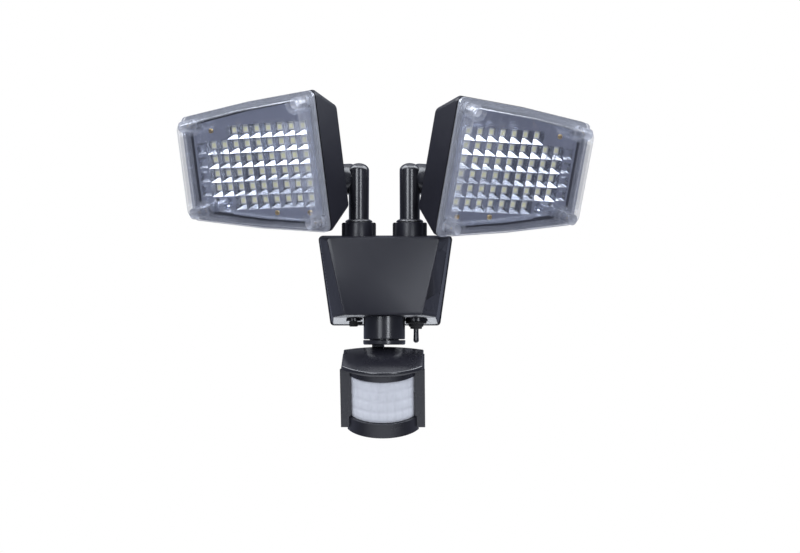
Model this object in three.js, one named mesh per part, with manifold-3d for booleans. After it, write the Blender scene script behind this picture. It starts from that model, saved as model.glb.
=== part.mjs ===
// Twin-head LED floodlight with a motion sensor, mounted on a wall.
//
// A tapered body hangs on a wall plate. Two swivelling arms stand on top of it, and each
// carries a lamp head on a tilting knuckle. A motion sensor hangs from a neck below it,
// beside a toggle switch and the socket for the solar panel's lead.
//
// Millimetres and degrees, +Z up. The front faces -Y, and the origin is the middle of the
// wall plate's back. Most pieces are drawn as they are seen from the front, across and up,
// and are given their depth towards the front.

import * as THREE from 'three';
import { mergeVertices } from 'three/addons/utils/BufferGeometryUtils.js';
import Module from 'manifold-3d';

// ---------------------------------------------------------------- driving dimensions

const clearance = 0.3;
const wall = 2.4;
const boardThickness = 1.6;

// How far a cutting tool runs past the face that it cuts, and a joined piece into its neighbour.
const past = 1;

// How many flat sides a round piece gets, by its size.
const sides = { small: 6, medium: 12, large: 18, lens: 36 };

const plate = {
  width: 74,
  height: 46,
  thickness: 4,
  cornerRadius: 8,
  screwSpacing: 50,
  screwHole: 5.4,
  studSpacing: 26,
  studRadius: 4,
  studNeckRadius: 2.2,
  studHead: 1.6,
};

const body = {
  topWidth: 106,
  bottomBesideNeck: 25.6,
  height: 67,
  topAboveMount: 36.3,
  cornerRadius: 2.5,
  coverDepth: 30,
  faceTopInset: 7.2,
  faceBottomInset: 10.8,
  faceTopDrop: 3,
  faceBottomRise: 1.6,
  faceEdge: 0.9,
  housingDepth: 27.7,
  housingFlare: 1.9,
  housingDrop: 5.5,
  lipDepth: 6,
  lipWidth: 0.8,
  lipRadius: 3.2,
};

const vent = {
  count: 13,
  pitch: 2.7,
  width: 1.3,
  depth: 2.2,
  belowTop: 15,
};

const housingScrew = {
  radius: 1.5,
  headRadius: 3,
  headHeight: 2,
  bossRadius: 4,
  engagement: 9,
  sideInset: 7.6,
  endInset: 10,
};

const arm = {
  spacing: 41.6,
  footRadius: 7.7,
  topRadius: 8.4,
  bore: 5,
  domeHeight: 6,
  knuckleHeight: 46.3,
  flangeWidth: 3.3,
  flangeThickness: 2.2,
  washerThickness: 1.5,
  shoulderHeight: 2.3,
  shoulderEdge: 0.9,
  shoulderLand: 1,
  sealDepth: 1.6,
  sealHeight: 2,
};

const collar = {
  frontRadius: 11.7,
  rearRadius: 14,
  height: 10.6,
  edge: 1.2,
};

const knuckle = {
  radius: 12.85,
  armStart: 9,
  armEnd: 16,
  headWidth: 12,
  edge: 1.6,
  boltRadius: 2.5,
  boltHeadRadius: 5,
  boltHeadHeight: 3.2,
  insertRadius: 4.2,
  insertLength: 7,
  webHeight: 19,
};

const head = {
  innerEdge: -5,
  width: 138,
  innerHeight: 115,
  outerHeight: 86,
  rise: 22,
  backOffset: 25,
  depth: 26.2,
  rimDepth: 3,
  backDrop: 13.7,
  backOuterInset: 12,
  cornerRadius: 5,
  bow: 1.6,
  bowRadius: 60,
  gasketThickness: 1,
  gasketWidth: 2.6,
};

const cover = {
  flangeThickness: 2.6,
  tubDepth: 16.5,
  tubInset: 4.4,
  tubDraft: 0.8,
  wall: 1.8,
  bossAcross: 10,
  bossUp: 8,
  wellRadius: 7.2,
  rimWall: 1.2,
  bossRadius: 4.6,
  bossDepth: 14,
};

const lampScrew = {
  radius: 1.4,
  headRadius: 2.8,
  headHeight: 2,
  engagement: 7,
  seatDepth: 8,
};

const led = {
  columns: 9,
  rows: 6,
  shortBy: 2,
  pitch: 11.7,
  size: 5,
  height: 1.2,
  boardInset: 9.5,
  boardDepth: 19.9,
  gridInset: 66,
};

const reflector = {
  depth: 3.2,
  ridge: 0.6,
  pocketFloor: 6.2,
  inset: 7.6,
};

const pose = {
  leftSwivel: 33,
  leftTilt: 12,
  rightSwivel: 37.5,
  rightTilt: 16.5,
  sensorTilt: 21.5,
};

const neck = {
  radius: 16.9,
  wall: 3,
  drop: 17.7,
  floor: 3,
  flangeWidth: 2.6,
  flangeThickness: 2.2,
};

const swivel = {
  rimWidth: 0.35,
  thickness: 3.8,
  seam: 0.6,
  spigotRadius: 12,
  snapHeight: 1.5,
  tabWidth: 9.6,
  tabRadius: 6.8,
  pivotDrop: 9.4,
  pivotBehind: 4,
  boltRadius: 2,
  boltHeadRadius: 4,
  boltHeadHeight: 2.4,
  nutRadius: 3.8,
  nutHeight: 3,
};

const sensor = {
  width: 66,
  wingWidth: 67.6,
  wingThickness: 3,
  capWidth: 64.6,
  capThickness: 3.7,
  capEdge: 0.8,
  capAbovePivot: 11.9,
  rearOffset: 8.2,
  rearBow: 6.2,
  sideDepth: 35,
  visorBow: 15.7,
  height: 49.4,
  lensRadius: 28.9,
  lensWall: 1.4,
  lensWidth: 49.6,
  lensTuck: 6,
  browHeight: 4.6,
  browRadius: 30,
  bandRadius: 31,
  bandHeight: 9.2,
  bandDrop: 2.7,
  boardWidth: 46,
  boardHeight: 36,
  boardSetback: 18,
  pyroRadius: 4.6,
  pyroHeight: 4.2,
  pyroFlange: 1,
  pyroStep: 0.6,
};

const dial = {
  radius: 4,
  flangeWidth: 1.2,
  flangeThickness: 1.5,
  spacing: 16,
  proud: 1.4,
  slotWidth: 1.2,
  slotDepth: 1,
  setback: 28,
};

const toggle = {
  besideNeck: 8.8,
  behindParting: 10,
  padMargin: 1,
  padDrop: 0.2,
  flangeRadius: 8.6,
  flangeThickness: 1.8,
  skirtRadius: 6,
  skirtHeight: 2.6,
  ringWall: 1.2,
  ringHeight: 4.4,
  leverRadius: 2.3,
  leverLength: 15.8,
  leverSway: 12,
  bodyWidth: 8,
  bodyDepth: 13,
  bodyHeight: 12,
  bushRadius: 3,
};

const socket = {
  besideNeck: 8.6,
  behindParting: 8,
  padMargin: 2.4,
  padDrop: 0.6,
  radius: 3.6,
  flangeWidth: 1.6,
  flangeThickness: 2,
  height: 12,
  bore: 2.6,
  boreDepth: 9,
  pinRadius: 0.9,
  capHeight: 4.4,
  capEdge: 0.6,
  strapGap: 1.2,
  strapWidth: 4,
  strapThickness: 2.6,
};

const cell = {
  length: 65,
  poleRadius: 3,
  poleHeight: 1,
  spacing: 1.4,
  behindParting: 1.6,
  belowArms: 2.4,
  aboveSwitch: 3.6,
  trayWall: 1.6,
};

const controlBoard = {
  width: 60,
  height: 34,
  aheadOfParting: 15,
  relayAcross: -15,
  relayWidth: 15,
  relayHeight: 12,
  relayDepth: 9,
  capacitorRadius: 4,
  capacitorDepth: 8,
};

// ---------------------------------------------------------------- solids

const wasm = await Module();
wasm.setup();

const HALF_TURN = Math.PI;

// A closed geometry as a solid, with its faces pointing out.
function toSolid(geometry) {
  const bare = geometry.index ? geometry.toNonIndexed() : geometry.clone();
  bare.deleteAttribute('normal');
  bare.deleteAttribute('uv');
  const merged = mergeVertices(bare, 1e-4);
  const corners = merged.index.array;
  const position = merged.attributes.position;
  const [a, b, c] = [new THREE.Vector3(), new THREE.Vector3(), new THREE.Vector3()];
  const kept = [];
  let volume = 0;
  for (let i = 0; i < corners.length; i += 3) {
    const triangle = [corners[i], corners[i + 1], corners[i + 2]];
    if (new Set(triangle).size === 3) {
      kept.push(triangle);
      [a, b, c].forEach((corner, k) => corner.fromBufferAttribute(position, triangle[k]));
      volume += a.dot(b.cross(c));
    }
  }
  return new wasm.Manifold(new wasm.Mesh({
    numProp: 3,
    vertProperties: new Float32Array(position.array),
    triVerts: new Uint32Array(kept.flatMap(([p, q, r]) => (volume > 0 ? [p, q, r] : [r, q, p]))),
  }));
}

function toGeometry(solid) {
  const mesh = solid.getMesh();
  const geometry = new THREE.BufferGeometry();
  geometry.setAttribute('position', new THREE.BufferAttribute(mesh.vertProperties, 3));
  geometry.setIndex(new THREE.BufferAttribute(mesh.triVerts, 1));
  return geometry;
}

const join = (...pieces) => toGeometry(pieces.map(toSolid).reduce((whole, piece) => whole.add(piece)));
const cut = (whole, ...tools) => toGeometry(
  tools.map(toSolid).reduce((rest, tool) => rest.subtract(tool), toSolid(whole)),
);
const common = (a, b) => toGeometry(toSolid(a).intersect(toSolid(b)));
const moved = (geometry, x, y, z) => geometry.clone().translate(x, y, z);

// Drawn solids have their depth along +Z, and this turns it towards the front.
const facingFront = (geometry) => geometry.clone().rotateX(Math.PI / 2);
const alongX = (geometry) => geometry.clone().rotateY(Math.PI / 2);

const point = (across, up) => new THREE.Vector2(across, up);

const rectangle = (left, right, bottom, top) => [
  point(left, bottom), point(right, bottom), point(right, top), point(left, top),
];

// An outline with its corners rounded. Outlines of like corners have the same number of
// points in the same order, so that one can be drawn out into another.
function rounded(corners, radius, steps = 3) {
  const anticlockwise = THREE.ShapeUtils.isClockWise(corners) ? [...corners].reverse() : corners;
  return anticlockwise.flatMap((corner, i) => {
    const before = anticlockwise[(i + corners.length - 1) % corners.length];
    const after = anticlockwise[(i + 1) % corners.length];
    const back = before.clone().sub(corner).normalize();
    const onward = after.clone().sub(corner).normalize();
    const half = Math.acos(back.dot(onward)) / 2;
    const size = typeof radius === 'function' ? radius(half) : radius;
    const centre = back.clone().add(onward).setLength(size / Math.sin(half)).add(corner);
    const start = back.clone().multiplyScalar(size / Math.tan(half)).add(corner).sub(centre).angle();
    const sweep = HALF_TURN - 2 * half;
    return Array.from({ length: steps + 1 }, (_, k) => {
      const angle = start + (sweep * k) / steps;
      return point(Math.cos(angle), Math.sin(angle)).multiplyScalar(size).add(centre);
    });
  });
}

// A closed solid drawn through outlines at their depths, each given as [depth, outline].
function loft(...sections) {
  const size = sections[0][1].length;
  const last = (sections.length - 1) * size;
  const positions = sections.flatMap(([depth, outline]) => outline.flatMap((p) => [p.x, p.y, depth]));
  const index = [];
  for (let s = 0; s < last; s += size) {
    for (let i = 0; i < size; i += 1) {
      const [a, b] = [s + i, s + ((i + 1) % size)];
      index.push(a, b, b + size, a, b + size, a + size);
    }
  }
  THREE.ShapeUtils.triangulateShape(sections[0][1], [])
    .forEach(([a, b, c]) => index.push(c, b, a));
  THREE.ShapeUtils.triangulateShape(sections[sections.length - 1][1], [])
    .forEach(([a, b, c]) => index.push(last + a, last + b, last + c));
  const geometry = new THREE.BufferGeometry();
  geometry.setAttribute('position', new THREE.Float32BufferAttribute(positions, 3));
  geometry.setIndex(index);
  return geometry;
}

// A slab of one outline between two depths.
const slab = (outline, from, to) => loft([from, outline], [to, outline]);

function box(left, right, back, front, bottom, top) {
  const geometry = new THREE.BoxGeometry(right - left, front - back, top - bottom);
  return geometry.translate((left + right) / 2, (back + front) / 2, (bottom + top) / 2);
}

// A piece turned about the depth axis, through [radius, depth] corners.
function turned(profile, facets = sides.large) {
  const closed = [...profile, profile[0]].map(([radius, depth]) => point(radius, depth));
  return new THREE.LatheGeometry(closed, facets).rotateX(Math.PI / 2);
}

const rod = (radius, from, to, facets = sides.medium) => turned(
  [[0, from], [radius, from], [radius, to], [0, to]], facets,
);
const tube = (outer, inner, from, to, facets = sides.large) => turned(
  [[inner, from], [outer, from], [outer, to], [inner, to]], facets,
);

// A rod that stands at a place seen from the front.
const rodAt = ({ across, up }, radius, from, to, facets = sides.small) => moved(
  rod(radius, from, to, facets), across, up, 0,
);

// ---------------------------------------------------------------- scene

const finishes = {
  satinBlack: ['#26272b', 0.45, 0],
  glossBlack: ['#1b1c20', 0.22, 0],
  rubber: ['#161616', 0.8, 0],
  clear: ['#dfe4ea', 0.08, 0],
  chrome: ['#c9cdd3', 0.12, 1],
  whiteBoard: ['#e8e8e4', 0.5, 0],
  greenBoard: ['#1f5a3a', 0.5, 0],
  lens: ['#dcdfe8', 0.4, 0],
  steel: ['#a7aaad', 0.35, 1],
  brass: ['#b59a54', 0.35, 1],
  cellWrap: ['#2a5f9e', 0.4, 0],
};

function add(parent, name, geometry, finish) {
  const [color, roughness, metalness] = finishes[finish];
  const material = new THREE.MeshStandardMaterial({ color, roughness, metalness });
  const mesh = new THREE.Mesh(toGeometry(toSolid(geometry)), material);
  mesh.geometry.computeVertexNormals();
  mesh.name = name;
  parent.add(mesh);
}

function frame(parent, position, turns = [0, 0, 0]) {
  const group = new THREE.Group();
  group.position.set(...position);
  group.rotation.set(...turns.map((degrees) => THREE.MathUtils.degToRad(degrees)));
  parent.add(group);
  return group;
}

// The body's pieces are placed from the parting plane between its cover and its housing.
const light = new THREE.Group();
const partingToWall = body.housingDepth + clearance + plate.thickness;
const unit = frame(light, [0, -partingToWall, 0]);

// ---------------------------------------------------------------- body outlines

const bodyTop = body.topAboveMount;
const bodyBottom = bodyTop - body.height;
const bottomWidth = 2 * (neck.radius + body.bottomBesideNeck);

const bodyOutline = (topHalf, bottomHalf, top, bottom, radius) => rounded([
  point(-bottomHalf, bottom), point(bottomHalf, bottom), point(topHalf, top), point(-topHalf, top),
], radius);

const partingOutline = (inset) => bodyOutline(
  body.topWidth / 2 - inset, bottomWidth / 2 - inset,
  bodyTop - inset, bodyBottom + inset, body.cornerRadius,
);
const faceOutline = (inset) => bodyOutline(
  body.topWidth / 2 - body.faceTopInset - inset, bottomWidth / 2 - body.faceBottomInset - inset,
  bodyTop - body.faceTopDrop - inset, bodyBottom + body.faceBottomRise + inset, body.cornerRadius,
);
const rearOutline = (inset) => bodyOutline(
  body.topWidth / 2 + body.housingFlare - inset, bottomWidth / 2 + body.housingFlare - inset,
  bodyTop - inset, bodyBottom - body.housingDrop + inset, body.lipRadius,
);

const lipStart = body.housingDepth - body.lipDepth;

// Half the body's width at the parting, so far below its top.
const halfWidthAt = (below) => THREE.MathUtils.lerp(
  body.topWidth, bottomWidth, below / body.height,
) / 2;

// The height of the housing's bottom wall, so far behind the parting.
const bottomWallAt = (behind) => bodyBottom - (body.housingDrop * behind) / lipStart;

const everywhere = body.topWidth * 2;
const frontHalf = box(-everywhere, everywhere, -everywhere, -clearance / 2, -everywhere, everywhere);
const rearHalf = box(-everywhere, everywhere, clearance / 2, everywhere, -everywhere, everywhere);

// The arms stand in collars, and the neck in a bore, each half in the cover and half in
// the housing, so that closing the body captures them.
const collarTop = bodyTop + collar.height;
const armSeat = bodyTop - wall - (body.faceTopDrop * collar.rearRadius) / body.coverDepth;
const armSides = [['left', -1], ['right', 1]];

function collars(radius) {
  return join(...armSides.map(([, side]) => moved(turned([
    [0, armSeat], [radius, armSeat], [radius, collarTop - collar.edge],
    [radius - collar.edge, collarTop], [0, collarTop],
  ]), (side * arm.spacing) / 2, 0, 0)));
}

const captureBores = [
  rod(
    neck.radius + clearance, bodyBottom - body.housingDrop - past,
    bodyBottom + wall + neck.floor, sides.large,
  ),
  ...armSides.map(([, side]) => moved(
    rod(arm.footRadius + clearance, armSeat - past, collarTop + past, sides.large),
    (side * arm.spacing) / 2, 0, 0,
  )),
];

const housingScrewPlaces = [
  ['upper_left', -1, 1], ['upper_right', 1, 1], ['lower_left', -1, -1], ['lower_right', 1, -1],
].map(([name, sideways, upward]) => {
  const below = upward > 0 ? housingScrew.endInset : body.height - housingScrew.endInset;
  return { name, across: sideways * (halfWidthAt(below) - housingScrew.sideInset), up: bodyTop - below };
});

// ---------------------------------------------------------------- front cover

function frontCover() {
  const outside = facingFront(loft(
    [clearance / 2, partingOutline(0)],
    [body.coverDepth - body.faceEdge, faceOutline(0)],
    [body.coverDepth, faceOutline(body.faceEdge)],
  ));
  const inside = facingFront(loft(
    [-past, partingOutline(wall)],
    [body.coverDepth - wall, faceOutline(wall)],
  ));
  const bosses = housingScrewPlaces.map((place) => common(
    facingFront(rodAt(place, housingScrew.bossRadius, clearance / 2, body.coverDepth)), outside,
  ));
  const pilots = housingScrewPlaces.map((place) => facingFront(
    rodAt(place, housingScrew.radius + clearance, -past, housingScrew.engagement + past),
  ));
  const shell = join(cut(outside, inside), common(collars(collar.frontRadius), frontHalf), ...bosses);
  return cut(shell, ...captureBores, ...pilots, ...ventSlots());
}

// A row of small slots down each side of the cover, along the parting.
function ventSlots() {
  return [-1, 1].flatMap((side) => Array.from({ length: vent.count }, (_, i) => {
    const below = vent.belowTop + i * vent.pitch;
    const edge = halfWidthAt(below);
    const up = bodyTop - below;
    return box(
      side * edge - wall * 2, side * edge + wall * 2, -vent.depth, past,
      up - vent.width / 2, up + vent.width / 2,
    );
  }));
}

add(unit, 'front_cover', frontCover(), 'satinBlack');

// ---------------------------------------------------------------- rear housing

const togglePlace = [neck.radius + toggle.besideNeck, toggle.behindParting];
const toggleFace = bottomWallAt(toggle.behindParting) - toggle.padDrop;
const switchFloor = bottomWallAt(0) + wall + clearance;
const socketPlace = [-neck.radius - socket.besideNeck, socket.behindParting];
const socketFace = bottomWallAt(socket.behindParting) - socket.padDrop;

const screwSeat = -body.housingDepth + wall + housingScrew.headHeight;

function rearHousing() {
  const outside = facingFront(loft(
    [-clearance / 2, partingOutline(0)],
    [-lipStart, rearOutline(0)],
    [-lipStart - body.lipWidth, rearOutline(-body.lipWidth)],
    [-body.housingDepth, rearOutline(-body.lipWidth)],
  ));
  const inside = facingFront(loft(
    [past, partingOutline(wall)],
    [-lipStart, rearOutline(wall)],
    [-body.housingDepth + wall, rearOutline(wall)],
  ));
  const posts = housingScrewPlaces.map((place) => facingFront(
    rodAt(place, housingScrew.headRadius + wall, -body.housingDepth + wall / 2, -clearance / 2, sides.medium),
  ));
  const screwHoles = housingScrewPlaces.flatMap((place) => [
    rodAt(place, housingScrew.headRadius + clearance, -body.housingDepth - past, screwSeat),
    rodAt(place, housingScrew.radius + clearance, screwSeat - past, past),
  ]).map(facingFront);
  const pads = common(join(
    moved(rod(toggle.flangeRadius + toggle.padMargin, toggleFace, bodyBottom + wall), ...togglePlace, 0),
    moved(rod(socket.radius + socket.padMargin, socketFace, bodyBottom + wall), ...socketPlace, 0),
  ), rearHalf);
  const shell = join(cut(outside, inside), common(collars(collar.rearRadius), rearHalf), pads, ...posts);
  const below = bodyBottom - body.height;
  return cut(
    shell, ...captureBores, ...screwHoles, ...keyholes(),
    moved(rod(toggle.flangeRadius + clearance, below, toggleFace), ...togglePlace, 0),
    moved(rod(toggle.bushRadius + clearance, below, 0), ...togglePlace, 0),
    moved(rod(socket.radius + clearance * 2, below, socketFace), ...socketPlace, 0),
    moved(rod(socket.radius + clearance, below, 0), ...socketPlace, 0),
  );
}

// Keyholes in the housing's back drop over the wall plate's studs.
function keyholes() {
  const drop = plate.studRadius * 2;
  const throat = plate.studNeckRadius + clearance;
  return [-1, 1].map((side) => {
    const across = (side * plate.studSpacing) / 2;
    const entry = rodAt({ across, up: -drop }, plate.studRadius + clearance, 0, wall * 3);
    const track = slab(rectangle(across - throat, across + throat, -drop, throat), 0, wall * 3);
    return facingFront(moved(join(entry, track), 0, 0, -body.housingDepth - wall));
  });
}

add(unit, 'rear_housing', rearHousing(), 'glossBlack');

housingScrewPlaces.forEach((place) => {
  const head = rodAt(
    place, housingScrew.headRadius, screwSeat - clearance - housingScrew.headHeight, screwSeat - clearance,
  );
  const shank = rodAt(place, housingScrew.radius, screwSeat - past, housingScrew.engagement);
  add(unit, `housing_screw_${place.name}`, facingFront(join(head, shank)), 'steel');
});

// ---------------------------------------------------------------- wall plate

function wallPlate() {
  const back = -partingToWall;
  const front = back + plate.thickness;
  const [halfWidth, halfHeight] = [plate.width / 2, plate.height / 2];
  const base = slab(
    rounded(rectangle(-halfWidth, halfWidth, -halfHeight, halfHeight), plate.cornerRadius), back, front,
  );
  const studStart = front + wall + clearance * 2;
  const studs = [-1, 1].flatMap((side) => {
    const place = { across: (side * plate.studSpacing) / 2, up: 0 };
    return [
      rodAt(place, plate.studNeckRadius, front - past, studStart + past),
      rodAt(place, plate.studRadius, studStart, studStart + plate.studHead),
    ];
  });
  const holes = [-1, 1].map((side) => rodAt(
    { across: (side * plate.screwSpacing) / 2, up: 0 }, plate.screwHole / 2, back - past, front + past,
  ));
  return facingFront(cut(join(base, ...studs), ...holes));
}

add(unit, 'wall_plate', wallPlate(), 'steel');

// ---------------------------------------------------------------- battery and control board

const armFlangeTop = armSeat - clearance * 2 - arm.washerThickness;
const armFoot = armFlangeTop - arm.flangeThickness;
const cellTop = armFoot - cell.belowArms;
const cellBottom = switchFloor + toggle.bodyHeight + cell.aboveSwitch;
const cellRadius = (cellTop - cellBottom - cell.spacing) / 4;
const upperCell = cellTop - cellRadius;
const cellSpacing = cellRadius * 2 + cell.spacing;
const cellBehind = cell.behindParting + cellRadius;

[['upper', 0], ['lower', 1]].forEach(([name, row]) => {
  const can = turned([
    [0, -cell.length / 2], [cellRadius, -cell.length / 2],
    [cellRadius, cell.length / 2 - cell.poleHeight],
    [cell.poleRadius, cell.length / 2 - cell.poleHeight], [cell.poleRadius, cell.length / 2],
    [0, cell.length / 2],
  ], sides.medium);
  add(unit, `battery_cell_${name}`, moved(alongX(can), 0, cellBehind, upperCell - row * cellSpacing),
    'cellWrap');
});

function batteryTray() {
  const end = cell.length / 2 + clearance;
  const back = cellBehind + cellRadius + clearance;
  return join(
    box(-end - cell.trayWall, end + cell.trayWall, back, back + cell.trayWall, cellBottom, cellTop),
    box(-end - cell.trayWall, -end, cellBehind - cellRadius / 2, back + cell.trayWall, cellBottom, cellTop),
    box(end, end + cell.trayWall, cellBehind - cellRadius / 2, back + cell.trayWall, cellBottom, cellTop),
  );
}

add(unit, 'battery_tray', batteryTray(), 'satinBlack');

function controlBoardAssembly() {
  const { width, height, aheadOfParting, relayAcross, relayWidth, relayHeight, relayDepth } = controlBoard;
  const top = upperCell + cellRadius / 2;
  const back = -aheadOfParting;
  const middle = top - height / 2;
  const sheet = box(-width / 2, width / 2, back - boardThickness, back, top - height, top);
  const relay = box(
    relayAcross - relayWidth / 2, relayAcross + relayWidth / 2,
    back - boardThickness / 2, back + relayDepth,
    middle - relayHeight / 2, middle + relayHeight / 2,
  );
  const capacitor = moved(
    facingFront(rod(controlBoard.capacitorRadius, -controlBoard.capacitorDepth, boardThickness / 2)),
    width / 4, back, middle,
  );
  return join(sheet, relay, capacitor);
}

add(unit, 'control_board', controlBoardAssembly(), 'greenBoard');

// ---------------------------------------------------------------- arms and knuckles

const knuckleHeight = bodyTop + arm.knuckleHeight;
const armTop = knuckleHeight + knuckle.radius;
const lugStart = knuckle.armEnd + clearance;
const lugEnd = lugStart + knuckle.headWidth;

function armTube(side) {
  const shoulder = collarTop + clearance;
  const shoulderTop = shoulder + arm.shoulderHeight;
  const shoulderRadius = collar.frontRadius - collar.edge / 2;
  const foot = arm.footRadius;
  const sealMiddle = (bodyTop + collarTop) / 2;
  const stem = turned([
    [0, armFoot], [foot + arm.flangeWidth, armFoot], [foot + arm.flangeWidth, armFlangeTop],
    [foot, armFlangeTop],
    [foot, sealMiddle - arm.sealHeight / 2], [foot - arm.sealDepth, sealMiddle - arm.sealHeight / 2],
    [foot - arm.sealDepth, sealMiddle + arm.sealHeight / 2], [foot, sealMiddle + arm.sealHeight / 2],
    [foot, shoulder], [shoulderRadius, shoulder],
    [shoulderRadius - arm.shoulderEdge, shoulderTop - arm.shoulderEdge],
    [foot + arm.shoulderLand, shoulderTop], [foot, shoulderTop],
    ...quarterRound(arm.topRadius, armTop - arm.domeHeight, arm.domeHeight),
  ]);
  const elbow = turned(elbowProfile(side));
  const wireway = rod(arm.bore, armFoot - past, knuckleHeight);
  const insertSeat = rod(
    knuckle.insertRadius + clearance, side * (knuckle.armEnd - knuckle.insertLength - clearance * 2),
    side * (knuckle.armEnd + past),
  );
  return cut(
    join(stem, moved(alongX(elbow), 0, 0, knuckleHeight)),
    wireway, moved(alongX(insertSeat), 0, 0, knuckleHeight),
  );
}

// A dome's profile from its rim at the full radius up to its crown on the axis.
function quarterRound(radius, base, height) {
  const steps = 4;
  return Array.from({ length: steps + 1 }, (_, i) => {
    const angle = ((Math.PI / 2) * i) / steps;
    return [i === steps ? 0 : radius * Math.cos(angle), base + height * Math.sin(angle)];
  });
}

// The tube swells sideways into the knuckle's barrel.
function elbowProfile(side) {
  const steps = 4;
  const swell = Array.from({ length: steps + 1 }, (_, i) => {
    const share = i / steps;
    const smooth = share * share * (3 - 2 * share);
    return [
      THREE.MathUtils.lerp(arm.topRadius - clearance, knuckle.radius, smooth),
      side * knuckle.armStart * share,
    ];
  });
  return [[0, 0], ...swell, [knuckle.radius, side * knuckle.armEnd], [0, side * knuckle.armEnd]];
}

function armParts(name, side, swivelAngle) {
  const base = frame(unit, [(side * arm.spacing) / 2, 0, 0], [0, 0, side * swivelAngle]);
  add(base, `${name}_arm`, armTube(side), 'glossBlack');
  const bore = arm.footRadius + clearance;
  const washer = tube(
    bore + arm.flangeWidth, bore, armFlangeTop + clearance, armFlangeTop + clearance + arm.washerThickness,
  );
  add(base, `${name}_arm_washer`, washer, 'steel');
  const sealMiddle = (bodyTop + collarTop) / 2;
  const sealHalf = arm.sealHeight / 2 - clearance;
  const seal = tube(
    arm.footRadius + clearance / 3, arm.footRadius - arm.sealDepth + clearance,
    sealMiddle - sealHalf, sealMiddle + sealHalf,
  );
  add(base, `${name}_arm_seal`, seal, 'rubber');
  const insert = tube(
    knuckle.insertRadius, knuckle.boltRadius + clearance,
    side * (knuckle.armEnd - knuckle.insertLength - clearance), side * (knuckle.armEnd - clearance),
    sides.medium,
  );
  add(base, `${name}_knuckle_insert`, moved(alongX(insert), 0, 0, knuckleHeight), 'brass');
  const boltEnd = knuckle.armEnd - knuckle.insertLength;
  const headStart = lugEnd + clearance;
  const bolt = join(
    rod(knuckle.boltRadius, side * boltEnd, side * (headStart + past)),
    cut(
      rod(knuckle.boltHeadRadius, side * headStart, side * (headStart + knuckle.boltHeadHeight)),
      rod(knuckle.boltRadius, side * (headStart + knuckle.boltHeadHeight / 2),
        side * (headStart + knuckle.boltHeadHeight + past), 6),
    ),
  );
  add(base, `${name}_knuckle_bolt`, moved(alongX(bolt), 0, 0, knuckleHeight), 'steel');
  return base;
}

// ---------------------------------------------------------------- lamp heads

const headFront = head.backOffset + head.depth;
const flangeBack = headFront + head.gasketThickness + clearance * 2;
const flangeFront = flangeBack + cover.flangeThickness;
const tubFront = flangeBack + cover.tubDepth;

// Half the angle at a corner above which it is a bow in a side, and not a corner.
const nearlyStraight = HALF_TURN * 0.45;

// The lamp's outline, tall at its inner edge and lower at its outer edge.
function lampOutline(side, inset, drop = 0, outerInset = 0) {
  const inner = head.innerEdge + inset;
  const outer = head.innerEdge + head.width - inset - outerInset;
  const innerHalf = head.innerHeight / 2 - drop - inset;
  const outerHalf = head.outerHeight / 2 - drop - inset;
  const bowHalf = (innerHalf + outerHalf) / 2 + head.bow;
  const middle = (inner + outer) / 2;
  return rounded([
    [inner, -innerHalf], [middle, -bowHalf], [outer, -outerHalf],
    [outer, outerHalf], [middle, bowHalf], [inner, innerHalf],
  ].map(([across, up]) => point(side * across, head.rise + up)), (half) => (
    half > nearlyStraight ? head.bowRadius : head.cornerRadius
  ));
}

function lampCorners(side) {
  return [['upper_inner', 0, 1], ['lower_inner', 0, -1], ['upper_outer', 1, 1], ['lower_outer', 1, -1]]
    .map(([name, outward, upward]) => {
      const fromInner = outward ? head.width - cover.bossAcross : cover.bossAcross;
      const halfHeight = THREE.MathUtils.lerp(
        head.innerHeight, head.outerHeight, fromInner / head.width,
      ) / 2;
      return {
        name,
        across: side * (head.innerEdge + fromInner),
        up: head.rise + upward * (halfHeight - cover.bossUp),
      };
    });
}

const lampSeat = headFront - lampScrew.seatDepth;

function lampShell(side) {
  const rimStart = headFront - head.rimDepth;
  const outside = loft(
    [head.backOffset, lampOutline(side, 0, head.backDrop, head.backOuterInset)],
    [rimStart, lampOutline(side, 0)],
    [headFront, lampOutline(side, 0)],
  );
  const inside = loft(
    [head.backOffset + wall, lampOutline(side, wall, head.backDrop, head.backOuterInset)],
    [rimStart, lampOutline(side, wall)],
    [headFront + past, lampOutline(side, wall)],
  );
  const corners = lampCorners(side);
  const bosses = corners.map((place) => common(
    rodAt(place, cover.bossRadius, head.backOffset + wall, headFront), outside,
  ));
  const screwHoles = corners.flatMap((place) => [
    rodAt(place, lampScrew.headRadius + clearance, 0, lampSeat),
    rodAt(place, lampScrew.radius + clearance, lampSeat - past, headFront + past),
  ]);
  const tray = facingFront(cut(join(cut(outside, inside), ...bosses), ...screwHoles));
  const barrel = turned([
    [0, side * lugStart], [knuckle.radius, side * lugStart],
    [knuckle.radius, side * (lugEnd - knuckle.edge)],
    [knuckle.radius - knuckle.edge, side * lugEnd], [0, side * lugEnd],
  ]);
  const halfWeb = knuckle.webHeight / 2;
  const web = box(
    Math.min(side * lugStart, side * lugEnd), Math.max(side * lugStart, side * lugEnd),
    -head.backOffset - wall / 2, 0, -halfWeb, halfWeb,
  );
  const boltHole = rod(knuckle.boltRadius + clearance, side * (lugStart - past), side * (lugEnd + past));
  return cut(join(tray, alongX(barrel), web), alongX(boltHole));
}

function lampGasket(side) {
  const back = headFront + clearance;
  const front = back + head.gasketThickness;
  const edge = clearance * 2;
  return facingFront(cut(
    slab(lampOutline(side, edge), back, front),
    slab(lampOutline(side, edge + head.gasketWidth), back - past, front + past),
  ));
}

const ledBoardBack = head.backOffset + led.boardDepth;
const ledBoardFront = ledBoardBack + boardThickness;

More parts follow.
